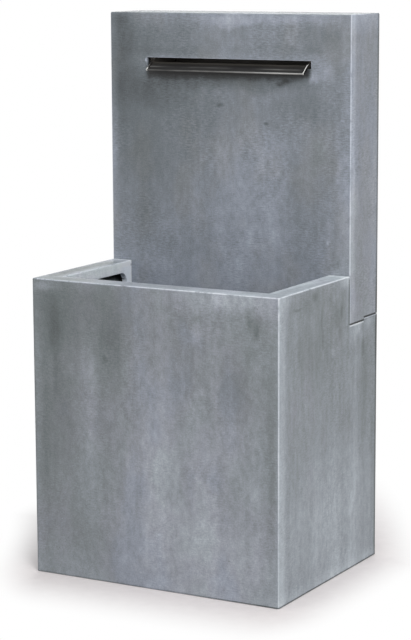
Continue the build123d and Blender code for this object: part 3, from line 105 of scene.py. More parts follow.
class Finish:
    """The node tree of one material or of the world, with the steps that the finishes share."""

    def __init__(self, owner):
        owner.use_nodes = True
        self.tree = owner.node_tree
        self.tree.nodes.clear()
        self.warps = {}
        self.place = self.node("ShaderNodeTexCoord", out="Object")
        self.x, self.y, self.z = self.split(self.place)

    def node(self, kind, settings=None, sockets=None, out=0):
        """Adds a node: its settings, then its sockets' values and links. Gives the output named."""
        made = self.tree.nodes.new(kind)
        for key, value in (settings or {}).items():
            if key == "stops":
                self.fill_ramp(made.color_ramp, value)
            else:
                setattr(made, key, value)
        for key, value in (sockets or {}).items():
            socket = self.find(made.inputs, key)
            if isinstance(value, Socket):
                self.tree.links.new(value.output, socket)
            else:
                socket.default_value = value
        if not made.outputs:
            return None
        if out == "XYZ":
            return [Socket(self, made.outputs[axis]) for axis in out]
        return Socket(self, self.find(made.outputs, out))

    @staticmethod
    def find(sockets, key):
        """A socket by its place, its identifier or its name."""
        if isinstance(key, int):
            return sockets[key]
        return next((s for s in sockets if s.identifier == key), None) or sockets[key]

    @staticmethod
    def fill_ramp(ramp, stops):
        while len(ramp.elements) < len(stops):
            ramp.elements.new(1.0)
        for element, (position, colour) in zip(ramp.elements, stops):
            element.position = position
            element.color = colour

    def split(self, vector):
        """The three parts of a vector."""
        return self.node("ShaderNodeSeparateXYZ", None, {"Vector": vector}, "XYZ")

    def math(self, operation, *values):
        return self.node("ShaderNodeMath", {"operation": operation}, dict(enumerate(values)))

    def least(self, first, second):
        return self.math("MINIMUM", first, second)

    def most(self, first, second):
        return self.math("MAXIMUM", first, second)

    def above(self, value, limit):
        return self.math("GREATER_THAN", value, limit)

    def smooth(self, value, start, end):
        """A soft step from 0 at start to 1 at end, or down from 1 where end is the lower."""
        limits = {"Value": value, "From Min": start, "From Max": end}
        return self.node("ShaderNodeMapRange", {"interpolation_type": "SMOOTHSTEP"}, limits)

    def vector(self, operation, *values, out=0):
        return self.node("ShaderNodeVectorMath", {"operation": operation}, dict(enumerate(values)), out)

    def noise(self, per_metre, detail=2.0, shift=0.0, rough=0.5, out="Fac"):
        """Noise with so many features to the metre along X, Y and Z, around 0.5."""
        spread = self.vector("MULTIPLY_ADD", self.place, per_metre, (shift, shift, shift))
        sockets = {"Vector": spread, "Scale": 1.0, "Detail": detail, "Roughness": rough}
        return self.node("ShaderNodeTexNoise", None, sockets, out)

    def swing(self, per_metre, detail=2.0, shift=0.0, rough=0.5):
        """The same noise, from about -1 to 1."""
        return (self.noise(per_metre, detail, shift, rough) - 0.5) * 4.0

    def cells(self, per_metre, out="Distance"):
        """Distances, or random colours, in a field of random cells."""
        spread = self.vector("MULTIPLY", self.place, per_metre)
        return self.node("ShaderNodeTexVoronoi", None, {"Vector": spread, "Scale": 1.0}, out)

    def mix(self, factor, first, second, blend="MIX"):
        """Two colours mixed."""
        settings = {"data_type": "RGBA", "blend_type": blend, "clamp_factor": True}
        sockets = {"Factor_Float": factor, "A_Color": first, "B_Color": second}
        return self.node("ShaderNodeMix", settings, sockets, "Result_Color")

    def ramp(self, value, stops):
        return self.node("ShaderNodeValToRGB", {"stops": stops}, {"Fac": value}, "Color")

    def bump(self, height, distance, strength):
        sockets = {"Height": height, "Distance": distance, "Strength": strength}
        return self.node("ShaderNodeBump", None, sockets, "Normal")

    def nearest_arris(self, distances):
        """The second least distance: on a face, which lies on one plane, that to its nearest arris."""
        first, second = self.least(*distances[:2]), self.most(*distances[:2])
        for distance in distances[2:]:
            second = self.least(second, self.most(first, distance))
            first = self.least(first, distance)
        return second

    def blotch(self, place, centre, half_sizes):
        """A soft mark, 1 at its centre and 0 outside an ellipsoid of these half sizes."""
        scale = [1 / half for half in half_sizes]
        shift = [-middle / half for middle, half in zip(centre, half_sizes)]
        reach = self.vector("LENGTH", self.vector("MULTIPLY_ADD", place, scale, shift), out="Value")
        return self.smooth(reach, 1.0, 0.1)

    def warp(self, size):
        """The frame's coordinates, drawn out of true so that a mark of this size has a soft outline."""
        per_metre, along, up = next(steps for least, steps in WARPS if size > least)
        if per_metre not in self.warps:
            drift = self.noise((per_metre,) * 3, detail=4.0, shift=3.7, rough=0.6, out="Color")
            moved = self.vector("MULTIPLY_ADD", drift, (along, along, up), self.place)
            self.warps[per_metre] = self.vector("SUBTRACT", moved, (along / 2, along / 2, up / 2))
        return self.warps[per_metre]

    def flecks(self, per_metre, size, share):
        """1 in small round flecks, in a share of the cells of a random field."""
        near = self.cells(per_metre)
        draw, _, _ = self.split(self.cells(per_metre, out="Color"))
        return self.smooth(near, size, size * 0.4) * self.above(draw, 1.0 - share)

    def surface(self, colour, roughness, normal, **others):
        """Ends the finish in one shader. Others are its further sockets, with _ for each space."""
        sockets = {"Base Color": colour, "Roughness": roughness, "Normal": normal}
        sockets.update({name.replace("_", " "): value for name, value in others.items()})
        shader = self.node("ShaderNodeBsdfPrincipled", None, sockets, "BSDF")
        self.node("ShaderNodeOutputMaterial", None, {"Surface": shader})


def new_finish(name):
    """A material and the finish that fills it."""
    material = bpy.data.materials.new(name)
    return material, Finish(material)


# Zinc patina of the castings. A tone is a screen value as a share of 255.
ZINC_STOPS = (
    (0.06, linear(15, 15, 16)),
    (0.22, linear(50, 53, 54)),
    (0.40, linear(97, 103, 106)),
    (0.48, linear(117, 122, 127)),
    (0.55, linear(135, 140, 148)),
    (0.62, linear(152, 157, 166)),
    (0.70, linear(172, 178, 187)),
    (0.85, linear(212, 216, 221)),
)
TROUGH_TONE = 0.500
TOWER_TONE = 0.485
INNER_TONE = 0.820
JAMB_TONE = 0.500
CHIP_TONE = 0.500
RUBBED_TONE = 0.86
# Tone of the painted shade that fills the hidden hollows
HOLLOW_SHADE_TONE = 0.075
# How far the painted shade lines along edges, seams and the foot darken the tone
SHADE_LINE_TONE = 0.36
RIPPLE_TONE = 0.036
TOWER_RIPPLE_TONE = 0.056
TOWER_WEAR = 0.55
WATER_LINE = 0.505

# Tints by the lean of the hue, from greenish at 0.36 and less to bluish at 0.64 and more
TINT_STOPS = (
    (0.22, linear(250, 254, 251)),
    (0.36, linear(250, 253, 250)),
    (0.50, linear(252, 252, 252)),
    (0.64, linear(248, 251, 255)),
)
TOWER_BLUE = 0.13
SIDE_BLUE = -0.13
END_BLUE = -0.13
BLUEST_X = 0.07

# Random layers of the patina: features per metre along X, Y and Z, detail, shift and roughness
LAYERS = {
    "clouds": ((5.0, 5.0, 1.8), 4.0, 1.3, 0.55),
    "bands": ((24.0, 24.0, 1.2), 4.0, 5.2, 0.60),
    "blots": ((19.0, 19.0, 12.0), 4.0, 8.1, 0.60),
    "sponge": ((75.0, 75.0, 42.0), 4.0, 2.9, 0.65),
    "ripple": ((88.0, 88.0, 340.0), 2.0, 6.4, 0.50),
    "grain": ((330.0, 330.0, 330.0), 3.0, 4.6, 0.65),
}
RIPPLE_PATCHES = ((9.0, 9.0, 7.0), 2.0, 9.3, 0.50)
HUE_PATCHES = ((13.0, 13.0, 7.0), 3.0, 12.5, 0.50)
# Its flecks: cells per metre, size in a cell and share of the cells
FLECKS = {
    "pits": ((42.0, 42.0, 42.0), 0.070, 0.30),
    "nubs": ((64.0, 64.0, 64.0), 0.085, 0.16),
}
# How far each layer changes the tone, what is added on faces with no marks of their own, and how far
# each raises the surface, shakes the edges of a rubbed arris and its halo, and changes the roughness
LAYER_TONES = {"clouds": 0.018, "bands": 0.027, "blots": 0.012, "sponge": 0.042, "grain": 0.042,
               "pits": -0.10, "nubs": 0.07}
UNMARKED_TONES = {"clouds": 0.028, "bands": 0.015}
LAYER_HEIGHTS = {"ripple": 0.3, "grain": 0.5, "sponge": 0.5, "blots": 0.8, "pits": -1.5, "nubs": 1.0}
ARRIS_SHAKES = {"blots": 0.0010, "sponge": 0.0011, "grain": 0.0006}
HALO_SHAKES = {"clouds": 0.008, "blots": 0.004}
LAYER_ROUGHNESS = {"clouds": 0.04, "sponge": 0.03}
# Distances from an arris over which its pale halo and its rubbed edge end
HALO_REACH = (0.030, 0.002)
RUBBED_REACH = (0.0036, 0.0006)
HALO_TONE = 0.022
RUBBED_SHARE = 0.90
ZINC_ROUGHNESS = 0.58
ZINC_RELIEF = 0.0004

# Depths under a face between which what is drawn on that face ends
FRONT_FACE = (0.006, 0.003)
SIDE_FACE = (0.0030, 0.0010)
SIDE_LINE = (0.004, 0.002)
TOP_FACE = (0.0020, 0.0005)
DARK_LINE = (0.0034, 0.0012)
# Depths within which a point counts as on the left or on the rear face
LEFT_FACE = 0.004
REAR_FACE = 0.004

# Widths of the paler strips of the sides along their front arrises
TROUGH_STRIP = 0.036
TOWER_STRIP = 0.024

# Paler patch in the painted shade of the hollow behind the port: its centre and half sizes
PALE_PATCH_CENTRE = (-0.292, 0.080, 0.619)
PALE_PATCH_HALF_SIZES = (0.020, 0.080, 0.009)

# Reach of a mark into its face
MARK_DEPTH = 0.100
# Soft marks on the trough's front: x, z, half width, half height, change of tone
FRONT_MARKS = (
    (-0.300, 0.380, 0.095, 0.520, -0.100),
    (-0.225, 0.380, 0.045, 0.360, -0.040),
    (-0.275, 0.650, 0.050, 0.020, 0.100),
    (-0.180, 0.610, 0.200, 0.130, -0.080),
    (0.288, 0.330, 0.018, 0.320, -0.045),
    (0.246, 0.320, 0.026, 0.170, 0.040),
    (-0.115, 0.508, 0.045, 0.120, -0.055),
    (0.190, 0.652, 0.210, 0.045, 0.105),
    (0.252, 0.600, 0.030, 0.030, -0.045),
    (0.170, 0.320, 0.150, 0.200, 0.035),
    (0.018, 0.300, 0.080, 0.350, 0.075),
    (0.115, 0.575, 0.040, 0.045, 0.040),
    (0.205, 0.465, 0.040, 0.090, -0.045),
    (-0.296, 0.440, 0.026, 0.320, 0.060),
    (-0.246, 0.530, 0.024, 0.180, -0.055),
    (-0.194, 0.500, 0.018, 0.120, -0.035),
    (-0.156, 0.380, 0.024, 0.220, 0.045),
    (-0.090, 0.520, 0.030, 0.160, -0.040),
    (-0.058, 0.260, 0.022, 0.180, 0.055),
    (0.150, 0.510, 0.024, 0.140, 0.045),
    (0.085, 0.390, 0.022, 0.130, 0.030),
    (0.252, 0.150, 0.022, 0.170, 0.055),
    (0.252, 0.500, 0.020, 0.100, 0.035),
    (0.196, 0.220, 0.020, 0.120, -0.030),
    (-0.255, 0.545, 0.026, 0.070, -0.050),
    (-0.200, 0.140, 0.080, 0.090, -0.030),
    (-0.170, 0.330, 0.110, 0.300, -0.015),
    (-0.180, 0.080, 0.120, 0.080, -0.035),
    (0.098, 0.330, 0.026, 0.200, 0.025),
    (0.130, 0.200, 0.050, 0.240, 0.035),
    (0.100, 0.085, 0.250, 0.170, 0.070),
    (0.124, 0.452, 0.022, 0.016, 0.045),
    (0.237, 0.611, 0.010, 0.030, -0.075),
    (0.253, 0.590, 0.008, 0.026, -0.065),
    (-0.118, 0.500, 0.011, 0.013, -0.060),
)
# On the trough's right side: y, z, half width, half height, change of tone
SIDE_MARKS = (
    (-0.095, 0.640, 0.110, 0.050, -0.055),
    (0.040, 0.590, 0.055, 0.050, -0.060),
    (0.078, 0.652, 0.040, 0.022, 0.120),
    (-0.080, 0.530, 0.150, 0.110, -0.045),
    (0.080, 0.010, 0.150, 0.070, 0.050),
    (0.175, 0.410, 0.032, 0.190, -0.045),
    (0.135, 0.530, 0.080, 0.030, 0.060),
    (0.000, 0.150, 0.260, 0.220, 0.065),
    (0.125, 0.170, 0.045, 0.180, 0.040),
    (0.228, 0.280, 0.026, 0.240, -0.040),
    (0.150, 0.300, 0.090, 0.300, 0.018),
    (-0.075, 0.645, 0.018, 0.016, -0.080),
    (-0.158, 0.629, 0.030, 0.006, -0.070),
    (-0.042, 0.592, 0.009, 0.040, -0.065),
    (-0.006, 0.625, 0.014, 0.028, -0.050),
    (0.056, 0.597, 0.011, 0.026, -0.075),
    (-0.036, 0.548, 0.008, 0.034, -0.050),
    (0.048, 0.548, 0.010, 0.028, -0.055),
    (0.167, 0.500, 0.010, 0.040, -0.080),
    (-0.036, 0.515, 0.010, 0.020, 0.050),
    (0.014, 0.512, 0.014, 0.016, 0.050),
    (0.086, 0.440, 0.026, 0.090, 0.045),
    (0.142, 0.545, 0.022, 0.020, 0.060),
    (0.190, 0.555, 0.024, 0.026, 0.070),
    (-0.150, 0.540, 0.012, 0.080, -0.035),
)
# On the trough's rim: centre, half sizes, change of tone
RIM_MARKS = [
    ((-0.283, -0.130, 0.666), (0.022, 0.140, 0.012), -0.100),
    ((0.280, -0.060, 0.666), (0.032, 0.170, 0.010), 0.060),
    # Painted light on the left rim by the tower, where the tower's shade falls
    ((-0.280, 0.080, 0.666), (0.040, 0.050, 0.012), 0.130),
    ((-0.110, -0.217, 0.666), (0.070, 0.030, 0.012), 0.070),
    ((-0.220, -0.217, 0.666), (0.070, 0.030, 0.012), -0.070),
    ((-0.285, -0.020, 0.666), (0.026, 0.120, 0.012), -0.050),
]
# On the tower's face: x, z, half width, half height, change of tone
FACE_MARKS = (
    (-0.268, 1.060, 0.045, 0.460, -0.060),
    (-0.290, 1.130, 0.120, 0.220, -0.110),
    # The next three marks are painted shadow of the lip, with a dark stain, below the slot and to its
    # lower left
    (-0.185, 1.070, 0.120, 0.075, -0.120),
    (0.000, 1.088, 0.260, 0.034, -0.100),
    (-0.080, 1.010, 0.230, 0.110, -0.040),
    (-0.190, 0.920, 0.110, 0.200, -0.060),
    (-0.174, 1.174, 0.150, 0.060, -0.055),
    (0.030, 1.222, 0.170, 0.026, 0.110),
    (0.190, 1.222, 0.110, 0.022, 0.050),
    (0.245, 1.180, 0.060, 0.050, -0.060),
    (0.140, 1.155, 0.150, 0.020, -0.040),
    (-0.130, 1.148, 0.170, 0.018, -0.060),
    (0.060, 0.860, 0.170, 0.280, 0.045),
    (0.060, 0.740, 0.160, 0.120, 0.035),
    # The next three marks are a painted highlight, with paler rub marks, by the slot's right end
    (0.208, 1.099, 0.011, 0.017, 0.140),
    (0.222, 1.094, 0.017, 0.018, 0.080),
    (0.244, 1.108, 0.028, 0.026, 0.050),
    (-0.2105, 1.1275, 0.004, 0.008, 0.280),
    (-0.205, 1.109, 0.006, 0.007, 0.280),
    (0.200, 1.035, 0.090, 0.060, -0.055),
    (-0.285, 1.215, 0.035, 0.030, -0.070),
    (0.085, 0.905, 0.035, 0.055, 0.040),
    (0.014, 0.750, 0.038, 0.090, -0.045),
    (-0.165, 0.715, 0.050, 0.050, -0.040),
    (0.125, 1.010, 0.045, 0.065, -0.035),
    (-0.238, 0.950, 0.022, 0.130, -0.030),
    (0.256, 0.790, 0.020, 0.140, 0.035),
    (-0.299, 1.000, 0.018, 0.280, 0.045),
    (-0.090, 0.830, 0.026, 0.130, 0.025),
    (-0.220, 0.770, 0.060, 0.090, -0.045),
    (0.268, 0.655, 0.035, 0.035, 0.060),
    (0.290, 0.960, 0.022, 0.060, -0.040),
    (0.139, 0.790, 0.030, 0.060, -0.030),
    (0.185, 0.800, 0.040, 0.160, -0.030),
    (0.290, 0.860, 0.035, 0.240, 0.060),
    (-0.020, 1.032, 0.014, 0.008, -0.120),
    (0.097, 0.993, 0.008, 0.006, -0.170),
    (0.146, 1.088, 0.019, 0.009, -0.150),
    (0.132, 1.081, 0.019, 0.009, -0.150),
    (0.251, 0.735, 0.003, 0.008, 0.080),
)


def front_marks(marks, front):
    """Marks on a face that looks to the front, as centres, half sizes and changes of tone."""
    return [((x, front, z), (half, MARK_DEPTH, tall), change) for x, z, half, tall, change in marks]


def side_marks(marks, side):
    """Marks on a face that looks to the side, as centres, half sizes and changes of tone."""
    return [((side, y, z), (MARK_DEPTH, half, tall), change) for y, z, half, tall, change in marks]


class Patina:
    """The random layers of the zinc, from about -1 to 1, and its pits and nubs, from 0 to 1."""

    def __init__(self, finish):
        self.layers = {name: finish.swing(*values) for name, values in LAYERS.items()}
        self.layers.update({name: finish.flecks(*values) for name, values in FLECKS.items()})
        patches = finish.smooth(finish.noise(*RIPPLE_PATCHES), 0.40, 0.62)
        self.layers["ripple"] = self.layers["ripple"] * (0.35 + patches * 0.65)

    def weigh(self, weights):
        """The sum of the layers that the weights name, each times its weight."""
        return sum(self.layers[name] * weight for name, weight in weights.items())


def inner_tone(finish, mottle):
    """The paler inner walls: runs down them, a chalky water line, and a darker zone below it."""
    wavy = finish.swing((12.0, 12.0, 2.0), detail=3.0, shift=20.1) * 0.004
    above_water = finish.z - WATER_LINE + wavy
    runs = finish.swing((45.0, 45.0, 2.5), detail=4.0, shift=21.7, rough=0.6)
    chalk = finish.smooth(abs(above_water), 0.012, 0.002) * (0.06 + runs * 0.03)
    wet = finish.smooth(above_water, 0.003, -0.012) * (0.10 + runs * 0.04)
    near_notch = finish.smooth(finish.y, NOTCH_FACE - 0.050, NOTCH_FACE)
    near_notch = near_notch * finish.above(finish.z, WATER_LINE) * 0.10
    lines = finish.swing((5.0, 5.0, 190.0), detail=3.0, shift=23.3, rough=0.6)
    lines = lines * finish.smooth(above_water, -0.01, 0.04) * 0.05
    deeper = finish.smooth(finish.z, 0.610, 0.545) * 0.12
    dry = INNER_TONE + near_notch - deeper + lines
    return dry + mottle * 1.1 + runs * 0.022 + chalk - wet


def zinc(finish, tone, arris, hollow_shade, marks=(), inside=0.0, shade_lines=0.0, blue=0.0, wear=1.0,
         unmarked=0.0, ripples=RIPPLE_TONE):
    """Clouded zinc: random layers, marks, paler inner walls, rubbed arrises, and painted shade:
    dark lines along edges and seams, and near-black hollows.

    Arris is the distance to the nearest rubbed arris. The argument for the hollows is 1 on the
    hidden hollows, which are drawn near black as painted shade. Inside is 1 in the basin, and the
    argument for the dark lines is 1 along painted shade at the foot, the rear arrises, the seams, the
    walls' ends and the front's left arris. Blue leans the hue, wear is how far the arrises are
    rubbed, unmarked is 1 on faces that have no marks of their own, and ripples is the tone of the
    ripples.
    """
    patina = Patina(finish)
    mottle = patina.weigh(LAYER_TONES) + patina.weigh(UNMARKED_TONES) * unmarked
    mottle = mottle + patina.weigh({"ripple": ripples})
    marked = 0.0
    for centre, half_sizes, change in marks:
        marked = finish.blotch(finish.warp(min(half_sizes)), centre, half_sizes) * change + marked
    tone = tone + mottle + marked * (1.0 + patina.weigh({"blots": 0.40, "sponge": 0.20}))

    halo = finish.smooth(arris + patina.weigh(HALO_SHAKES), *HALO_REACH)
    tone = tone + halo * HALO_TONE
    tone = tone + inside * (inner_tone(finish, mottle) - tone)
    worn_patches = finish.smooth(patina.weigh({"blots": 1.0, "sponge": 1.0}), -1.2, 0.3)
    rubbed = finish.smooth(arris + patina.weigh(ARRIS_SHAKES), *RUBBED_REACH) * worn_patches * wear
    tone = tone + rubbed * RUBBED_SHARE * (RUBBED_TONE - tone)
    # Painted shade along the foot, the rear arrises, the seams and the front's left arris
    tone = tone - shade_lines * SHADE_LINE_TONE
    # Painted shade: the hidden hollows are drawn near black
    tone = tone + hollow_shade * (HOLLOW_SHADE_TONE + patina.weigh({"grain": 0.012}) - tone)

    tint = finish.ramp(finish.noise(*HUE_PATCHES) + blue, TINT_STOPS)
    colour = finish.mix(1.0 - rubbed, finish.ramp(tone, ZINC_STOPS), tint, "MULTIPLY")
    roughness = ZINC_ROUGHNESS + patina.weigh(LAYER_ROUGHNESS) - rubbed * 0.12 + hollow_shade * 0.1
    normal = finish.bump(patina.weigh(LAYER_HEIGHTS), distance=ZINC_RELIEF, strength=0.6)
    finish.surface(colour, roughness, normal)


def seam_height(finish):
    """The tower's underside: it steps up half way along the tower's depth."""
    return tower_low.z + finish.above(finish.y, SEAM_STEP_PLACE) * SEAM_STEP


def outside_basin(finish):
    """How far a point lies outside the basin's inner walls, in plan."""
    return finish.most(abs(finish.x) - (trough_high.x - RIM_WIDTH), trough_low.y + RIM_WIDTH - finish.y)


def hollow(finish, distances):
    """1 on hidden inner faces, which lie deeper than any outer plane's rounding."""
    return finish.smooth(reduce(finish.least, distances), 0.006, 0.009)


def rear_shade_line(finish, at):
    """Painted shade down the sides' rear arris, turned from the light, darkest by the seam."""
    line = finish.smooth(at.rear, 0.0140, 0.0050) * finish.smooth(at.side, *SIDE_LINE)
    return line * (0.45 + finish.smooth(abs(finish.z - tower_low.z), 0.16, 0.0) * 0.75)


def pale_strip(finish, at, width):
    """The paler strip of a side along its front arris, as a change of tone."""
    wander = finish.swing((9.0, 9.0, 7.0), detail=3.0, shift=15.1) * 0.003
    return finish.smooth(at.front + wander, width * 1.25, width * 0.55) * at.on_side * 0.085


class TroughPlaces:
    """Depths under the trough's planes, and 1 or 0 for the parts of it that a point is on."""

    def __init__(self, finish):
        self.side = trough_high.x - abs(finish.x)
        self.front = finish.y - trough_low.y
        self.rear = trough_high.y - finish.y
        self.top = trough_high.z - finish.z
        self.foot = finish.z - trough_low.z
        self.rim = outside_basin(finish)
        self.wall_end = NOTCH_FACE - finish.y
        self.ledge = seam_height(finish) - SEAM_GAP - finish.z
        self.behind = finish.above(finish.y, NOTCH_FACE)
        self.over_seam = finish.above(finish.z, tower_low.z)
        self.on_side = finish.smooth(self.side, *SIDE_FACE)
        self.on_top = finish.smooth(self.top, *TOP_FACE)
        self.on_left = finish.above(trough_low.x + LEFT_FACE, finish.x)
        self.right_half = finish.above(finish.x, 0.0)


def trough_shade_lines(finish, at):
    """Painted shade: at the foot, down the rear, at the walls' ends and on the front's left arris."""
    foot_share = 0.20 + finish.smooth(finish.x, 0.05, 0.30) * 0.45 + at.on_side * 0.25
    foot_line = finish.smooth(at.foot, *DARK_LINE) * foot_share
    end_line = finish.smooth(at.wall_end, 0.0070, 0.0040) * finish.smooth(at.top, 0.002, 0.010)
    end_line = end_line * at.over_seam * 0.55
    left_line = at.on_left * finish.smooth(at.front, *FRONT_FACE) * 0.22
    return reduce(finish.most, [foot_line, rear_shade_line(finish, at), end_line, left_line])


def trough_hollow_shade(finish, at):
    """Painted shade of the hidden hollows, drawn near black, with a paler patch behind the port."""
    seat = finish.most(at.wall_end, at.ledge)
    hollow_shade = hollow(finish, [at.side, at.front, at.rear, at.top, seat, abs(at.rim) + 0.003])
    return hollow_shade * (1.0 - finish.blotch(finish.place, PALE_PATCH_CENTRE, PALE_PATCH_HALF_SIZES) * 0.70)


def wall_shades(finish, at):
    """Changes of tone on the trough's walls: painted light off the floor low down and along the foot,
    painted light on the sides with random bands, and paler by the seam.
    """
    # Painted light: the walls grow paler towards the foot, as from light off the floor
    lower = finish.smooth(finish.z, 0.45, 0.0) * 0.045
    # Painted light off the floor along the foot of the front and the sides
    foot_reach = finish.smooth(finish.x, -0.10, 0.05) + at.on_side
    foot = finish.smooth(at.foot, 0.036, 0.004) * foot_reach * 0.035
    wall_end = finish.smooth(at.wall_end, 0.030, 0.012) * at.over_seam * 0.05
    ledge = finish.smooth(abs(at.ledge), 0.0050, 0.0015) * at.behind
    ledge = ledge * finish.smooth(at.side, *SIDE_LINE) * 0.20
    # Painted light: the sides are paler, as lit from the right, with random bands on them
    bands = finish.swing((70.0, 70.0, 6.0), detail=3.0, shift=17.3)
    side = at.on_side * (0.024 + bands * 0.022)
    return lower + foot + pale_strip(finish, at, TROUGH_STRIP) + wall_end + ledge + side


def rim_shades(finish, at):
    """Changes of tone on the rim: streaks along its sides, a paler right side, and painted light on its
    left end, where the tower's shade falls.
    """
    side_rim = finish.above(at.front, RIM_WIDTH)
    streak = finish.smooth(abs(at.rim - RIM_WIDTH / 2), 0.022, 0.016) * 0.06
    lines = finish.swing((150.0, 7.0, 20.0), detail=3.0, shift=24.9, rough=0.6) * 0.045
    inner_line = finish.smooth(abs(at.rim - 0.011), 0.007, 0.003) * 0.06
    right = at.right_half * (0.10 + inner_line + finish.smooth(finish.y, 0.0, 0.06) * 0.04)
    # Painted light where the tower shades the left rim
    left_end_light = finish.smooth(at.wall_end, 0.013, 0.009) * finish.above(0.0, finish.x) * 0.15
    return at.on_top * (0.05 + left_end_light + side_rim * (right - streak - lines))


def trough_wear(finish, at):
    """How far the trough's arrises are rubbed: less by the foot and along the left rim."""
    left_top = finish.above(trough_low.x + 0.012, finish.x) * finish.smooth(at.top, 0.012, 0.004)
    return (0.40 + finish.smooth(finish.z, 0.06, 0.30) * 0.45) * (1.0 - left_top * 0.75)


def zinc_trough():
    material, finish = new_finish("zinc_trough")
    at = TroughPlaces(finish)
    ledge_arris = abs(at.ledge) + (1.0 - at.behind)
    rim_arris = abs(at.rim) + at.behind
    hue = finish.smooth(abs(finish.x - BLUEST_X), 0.10, 0.21) * END_BLUE + at.on_side * SIDE_BLUE
    zinc(finish, TROUGH_TONE + wall_shades(finish, at) + rim_shades(finish, at),
         arris=finish.nearest_arris([at.side, at.front, at.top, ledge_arris, rim_arris]),
         # Painted shade: the trough's hollows are drawn near black
         hollow_shade=trough_hollow_shade(finish, at),
         marks=(front_marks(FRONT_MARKS, trough_low.y) + side_marks(SIDE_MARKS, trough_high.x)
                + RIM_MARKS),
         inside=finish.smooth(at.rim, 0.0006, 0.0002) * (1.0 - at.behind),
         shade_lines=trough_shade_lines(finish, at),
         blue=hue,
         wear=trough_wear(finish, at),
         unmarked=finish.most(at.on_left, finish.above(REAR_FACE, at.rear)))
    return material


class TowerPlaces:
    """Depths under the tower's planes, and 1 or 0 for the parts of it that a point is on."""

    def __init__(self, finish):
        self.side = tower_high.x - abs(finish.x)
        self.front = finish.y - tower_low.y
        self.rear = tower_high.y - finish.y
        self.top = tower_high.z - finish.z
        self.seam = finish.z - seam_height(finish)
        self.on_front = finish.smooth(self.front, *FRONT_FACE)
        self.on_side = finish.smooth(self.side, *SIDE_FACE)
        self.on_top = finish.smooth(self.top, *TOP_FACE)


def tower_arris(finish, at):
    """Distance to the nearest rubbed arris: the outer ones over the trough's rim, and the slot's."""
    slot_middle = (SLOT_TOP + SLOT_BOTTOM) / 2
    slot_half_height = (SLOT_TOP - SLOT_BOTTOM) / 2
    past_height = abs(finish.z - slot_middle) - slot_half_height
    slot = finish.most(abs(finish.x) - SLOT_HALF_WIDTH, past_height)
    sunk = finish.smooth(finish.z, trough_high.z + 0.002, trough_high.z - 0.004) * 0.05
    return finish.nearest_arris([at.side, at.front + sunk, at.top + 0.0020, abs(slot) + 0.0014])


def lip_shadow_and_stain(finish):
    """Painted shadow of the lip, with a dark stain, as a change of tone: darkest at its left end."""
    below = SLOT_BOTTOM - finish.z
    ragged_edge = finish.swing((40.0, 40.0, 6.0), detail=3.0, shift=10.6) * 0.003
    # Painted shadow of the lip on the face below it, with a dark stain
    band = finish.smooth(below, 0.022, 0.012) * 0.21
    band = band + finish.smooth(below + ragged_edge, 0.034, 0.016) * 0.22
    band = band + finish.smooth(below + ragged_edge, 0.060, 0.015) * 0.05
    across = finish.smooth(abs(finish.x), 0.214, 0.198) * finish.above(below, -0.001)
    return band * across * (1.0 - finish.smooth(finish.x, -0.20, 0.20) * 0.25)


def tower_shades(finish, at):
    """Changes of tone on the tower: painted light on its lower face, its sides and all off the face, a
    darker top, and the lip's painted shadow with a stain.
    """
    # Painted light: all but the tower's face is paler, as lit from the right
    light_off_face = finish.smooth(at.front, 0.004, 0.008) * 0.020
    # Painted light that makes the lower face paler
    light_low_face = finish.smooth(finish.z, 0.92, 0.70) * 0.035
    light_low_face = light_low_face + finish.smooth(finish.z, 0.70, 0.63) * 0.040
    top = 0.10 + finish.smooth(at.rear, 0.110, 0.020) * 0.05
    far_side = finish.smooth(at.rear, 0.100, 0.040) * finish.smooth(finish.z, 1.15, 0.95) * 0.035
    # Painted light that makes the sides paler
    side = 0.020 + far_side + finish.smooth(finish.z, 1.18, 1.23) * 0.06
    shades = light_off_face + pale_strip(finish, at, TOWER_STRIP) + at.on_side * side - at.on_top * top
    return shades + at.on_front * (light_low_face - lip_shadow_and_stain(finish))


def zinc_tower():
    material, finish = new_finish("zinc_tower")
    at = TowerPlaces(finish)
    zinc(finish, TOWER_TONE + tower_shades(finish, at),
         arris=tower_arris(finish, at),
         # Painted shade: the tower's hollows are drawn near black
         hollow_shade=hollow(finish, [at.side, at.front, at.rear, at.top, at.seam]),
         marks=front_marks(FACE_MARKS, tower_low.y),
         # Painted shade under the tower's bottom edge at the seam, and down its rear arrises
         shade_lines=finish.most(finish.smooth(at.seam, *DARK_LINE), rear_shade_line(finish, at)),
         blue=TOWER_BLUE + at.on_side * finish.smooth(finish.z, 1.15, 0.85) * SIDE_BLUE,
         wear=TOWER_WEAR,
         unmarked=finish.above(tower_low.x + LEFT_FACE, finish.x),
         ripples=TOWER_RIPPLE_TONE)
    return material


def zinc_panel():
    material, finish = new_finish("zinc_panel")
    rear = panel_high.y - finish.y
    side = panel_high.x - abs(finish.x)
    arris = finish.nearest_arris([side, rear, panel_high.z - finish.z, finish.z - panel_low.z])
    # Painted shade: the panel's inner face is drawn near black
    zinc(finish, TOWER_TONE, arris, hollow_shade=finish.smooth(rear, 0.004, 0.008), blue=TOWER_BLUE,
         wear=TOWER_WEAR, unmarked=1.0)
    return material


def zinc_basin():
    material, finish = new_finish("zinc_basin")
    rim = outside_basin(finish)
    jamb = finish.smooth(rim, 0.0004, 0.0010)
    chips = finish.noise((120.0, 120.0, 170.0), detail=3.0, shift=14.2, rough=0.6)
    chips = finish.smooth(chips, 0.38, 0.50)
    no_arris = abs(rim) + 0.2
    # Painted shade: the hollow inside the basin's walls is drawn near black
    zinc(finish, JAMB_TONE + chips * CHIP_TONE, no_arris,
         hollow_shade=finish.smooth(rim, SKIN - 0.0010, SKIN - 0.0002),
         inside=1.0 - jamb)
    return material


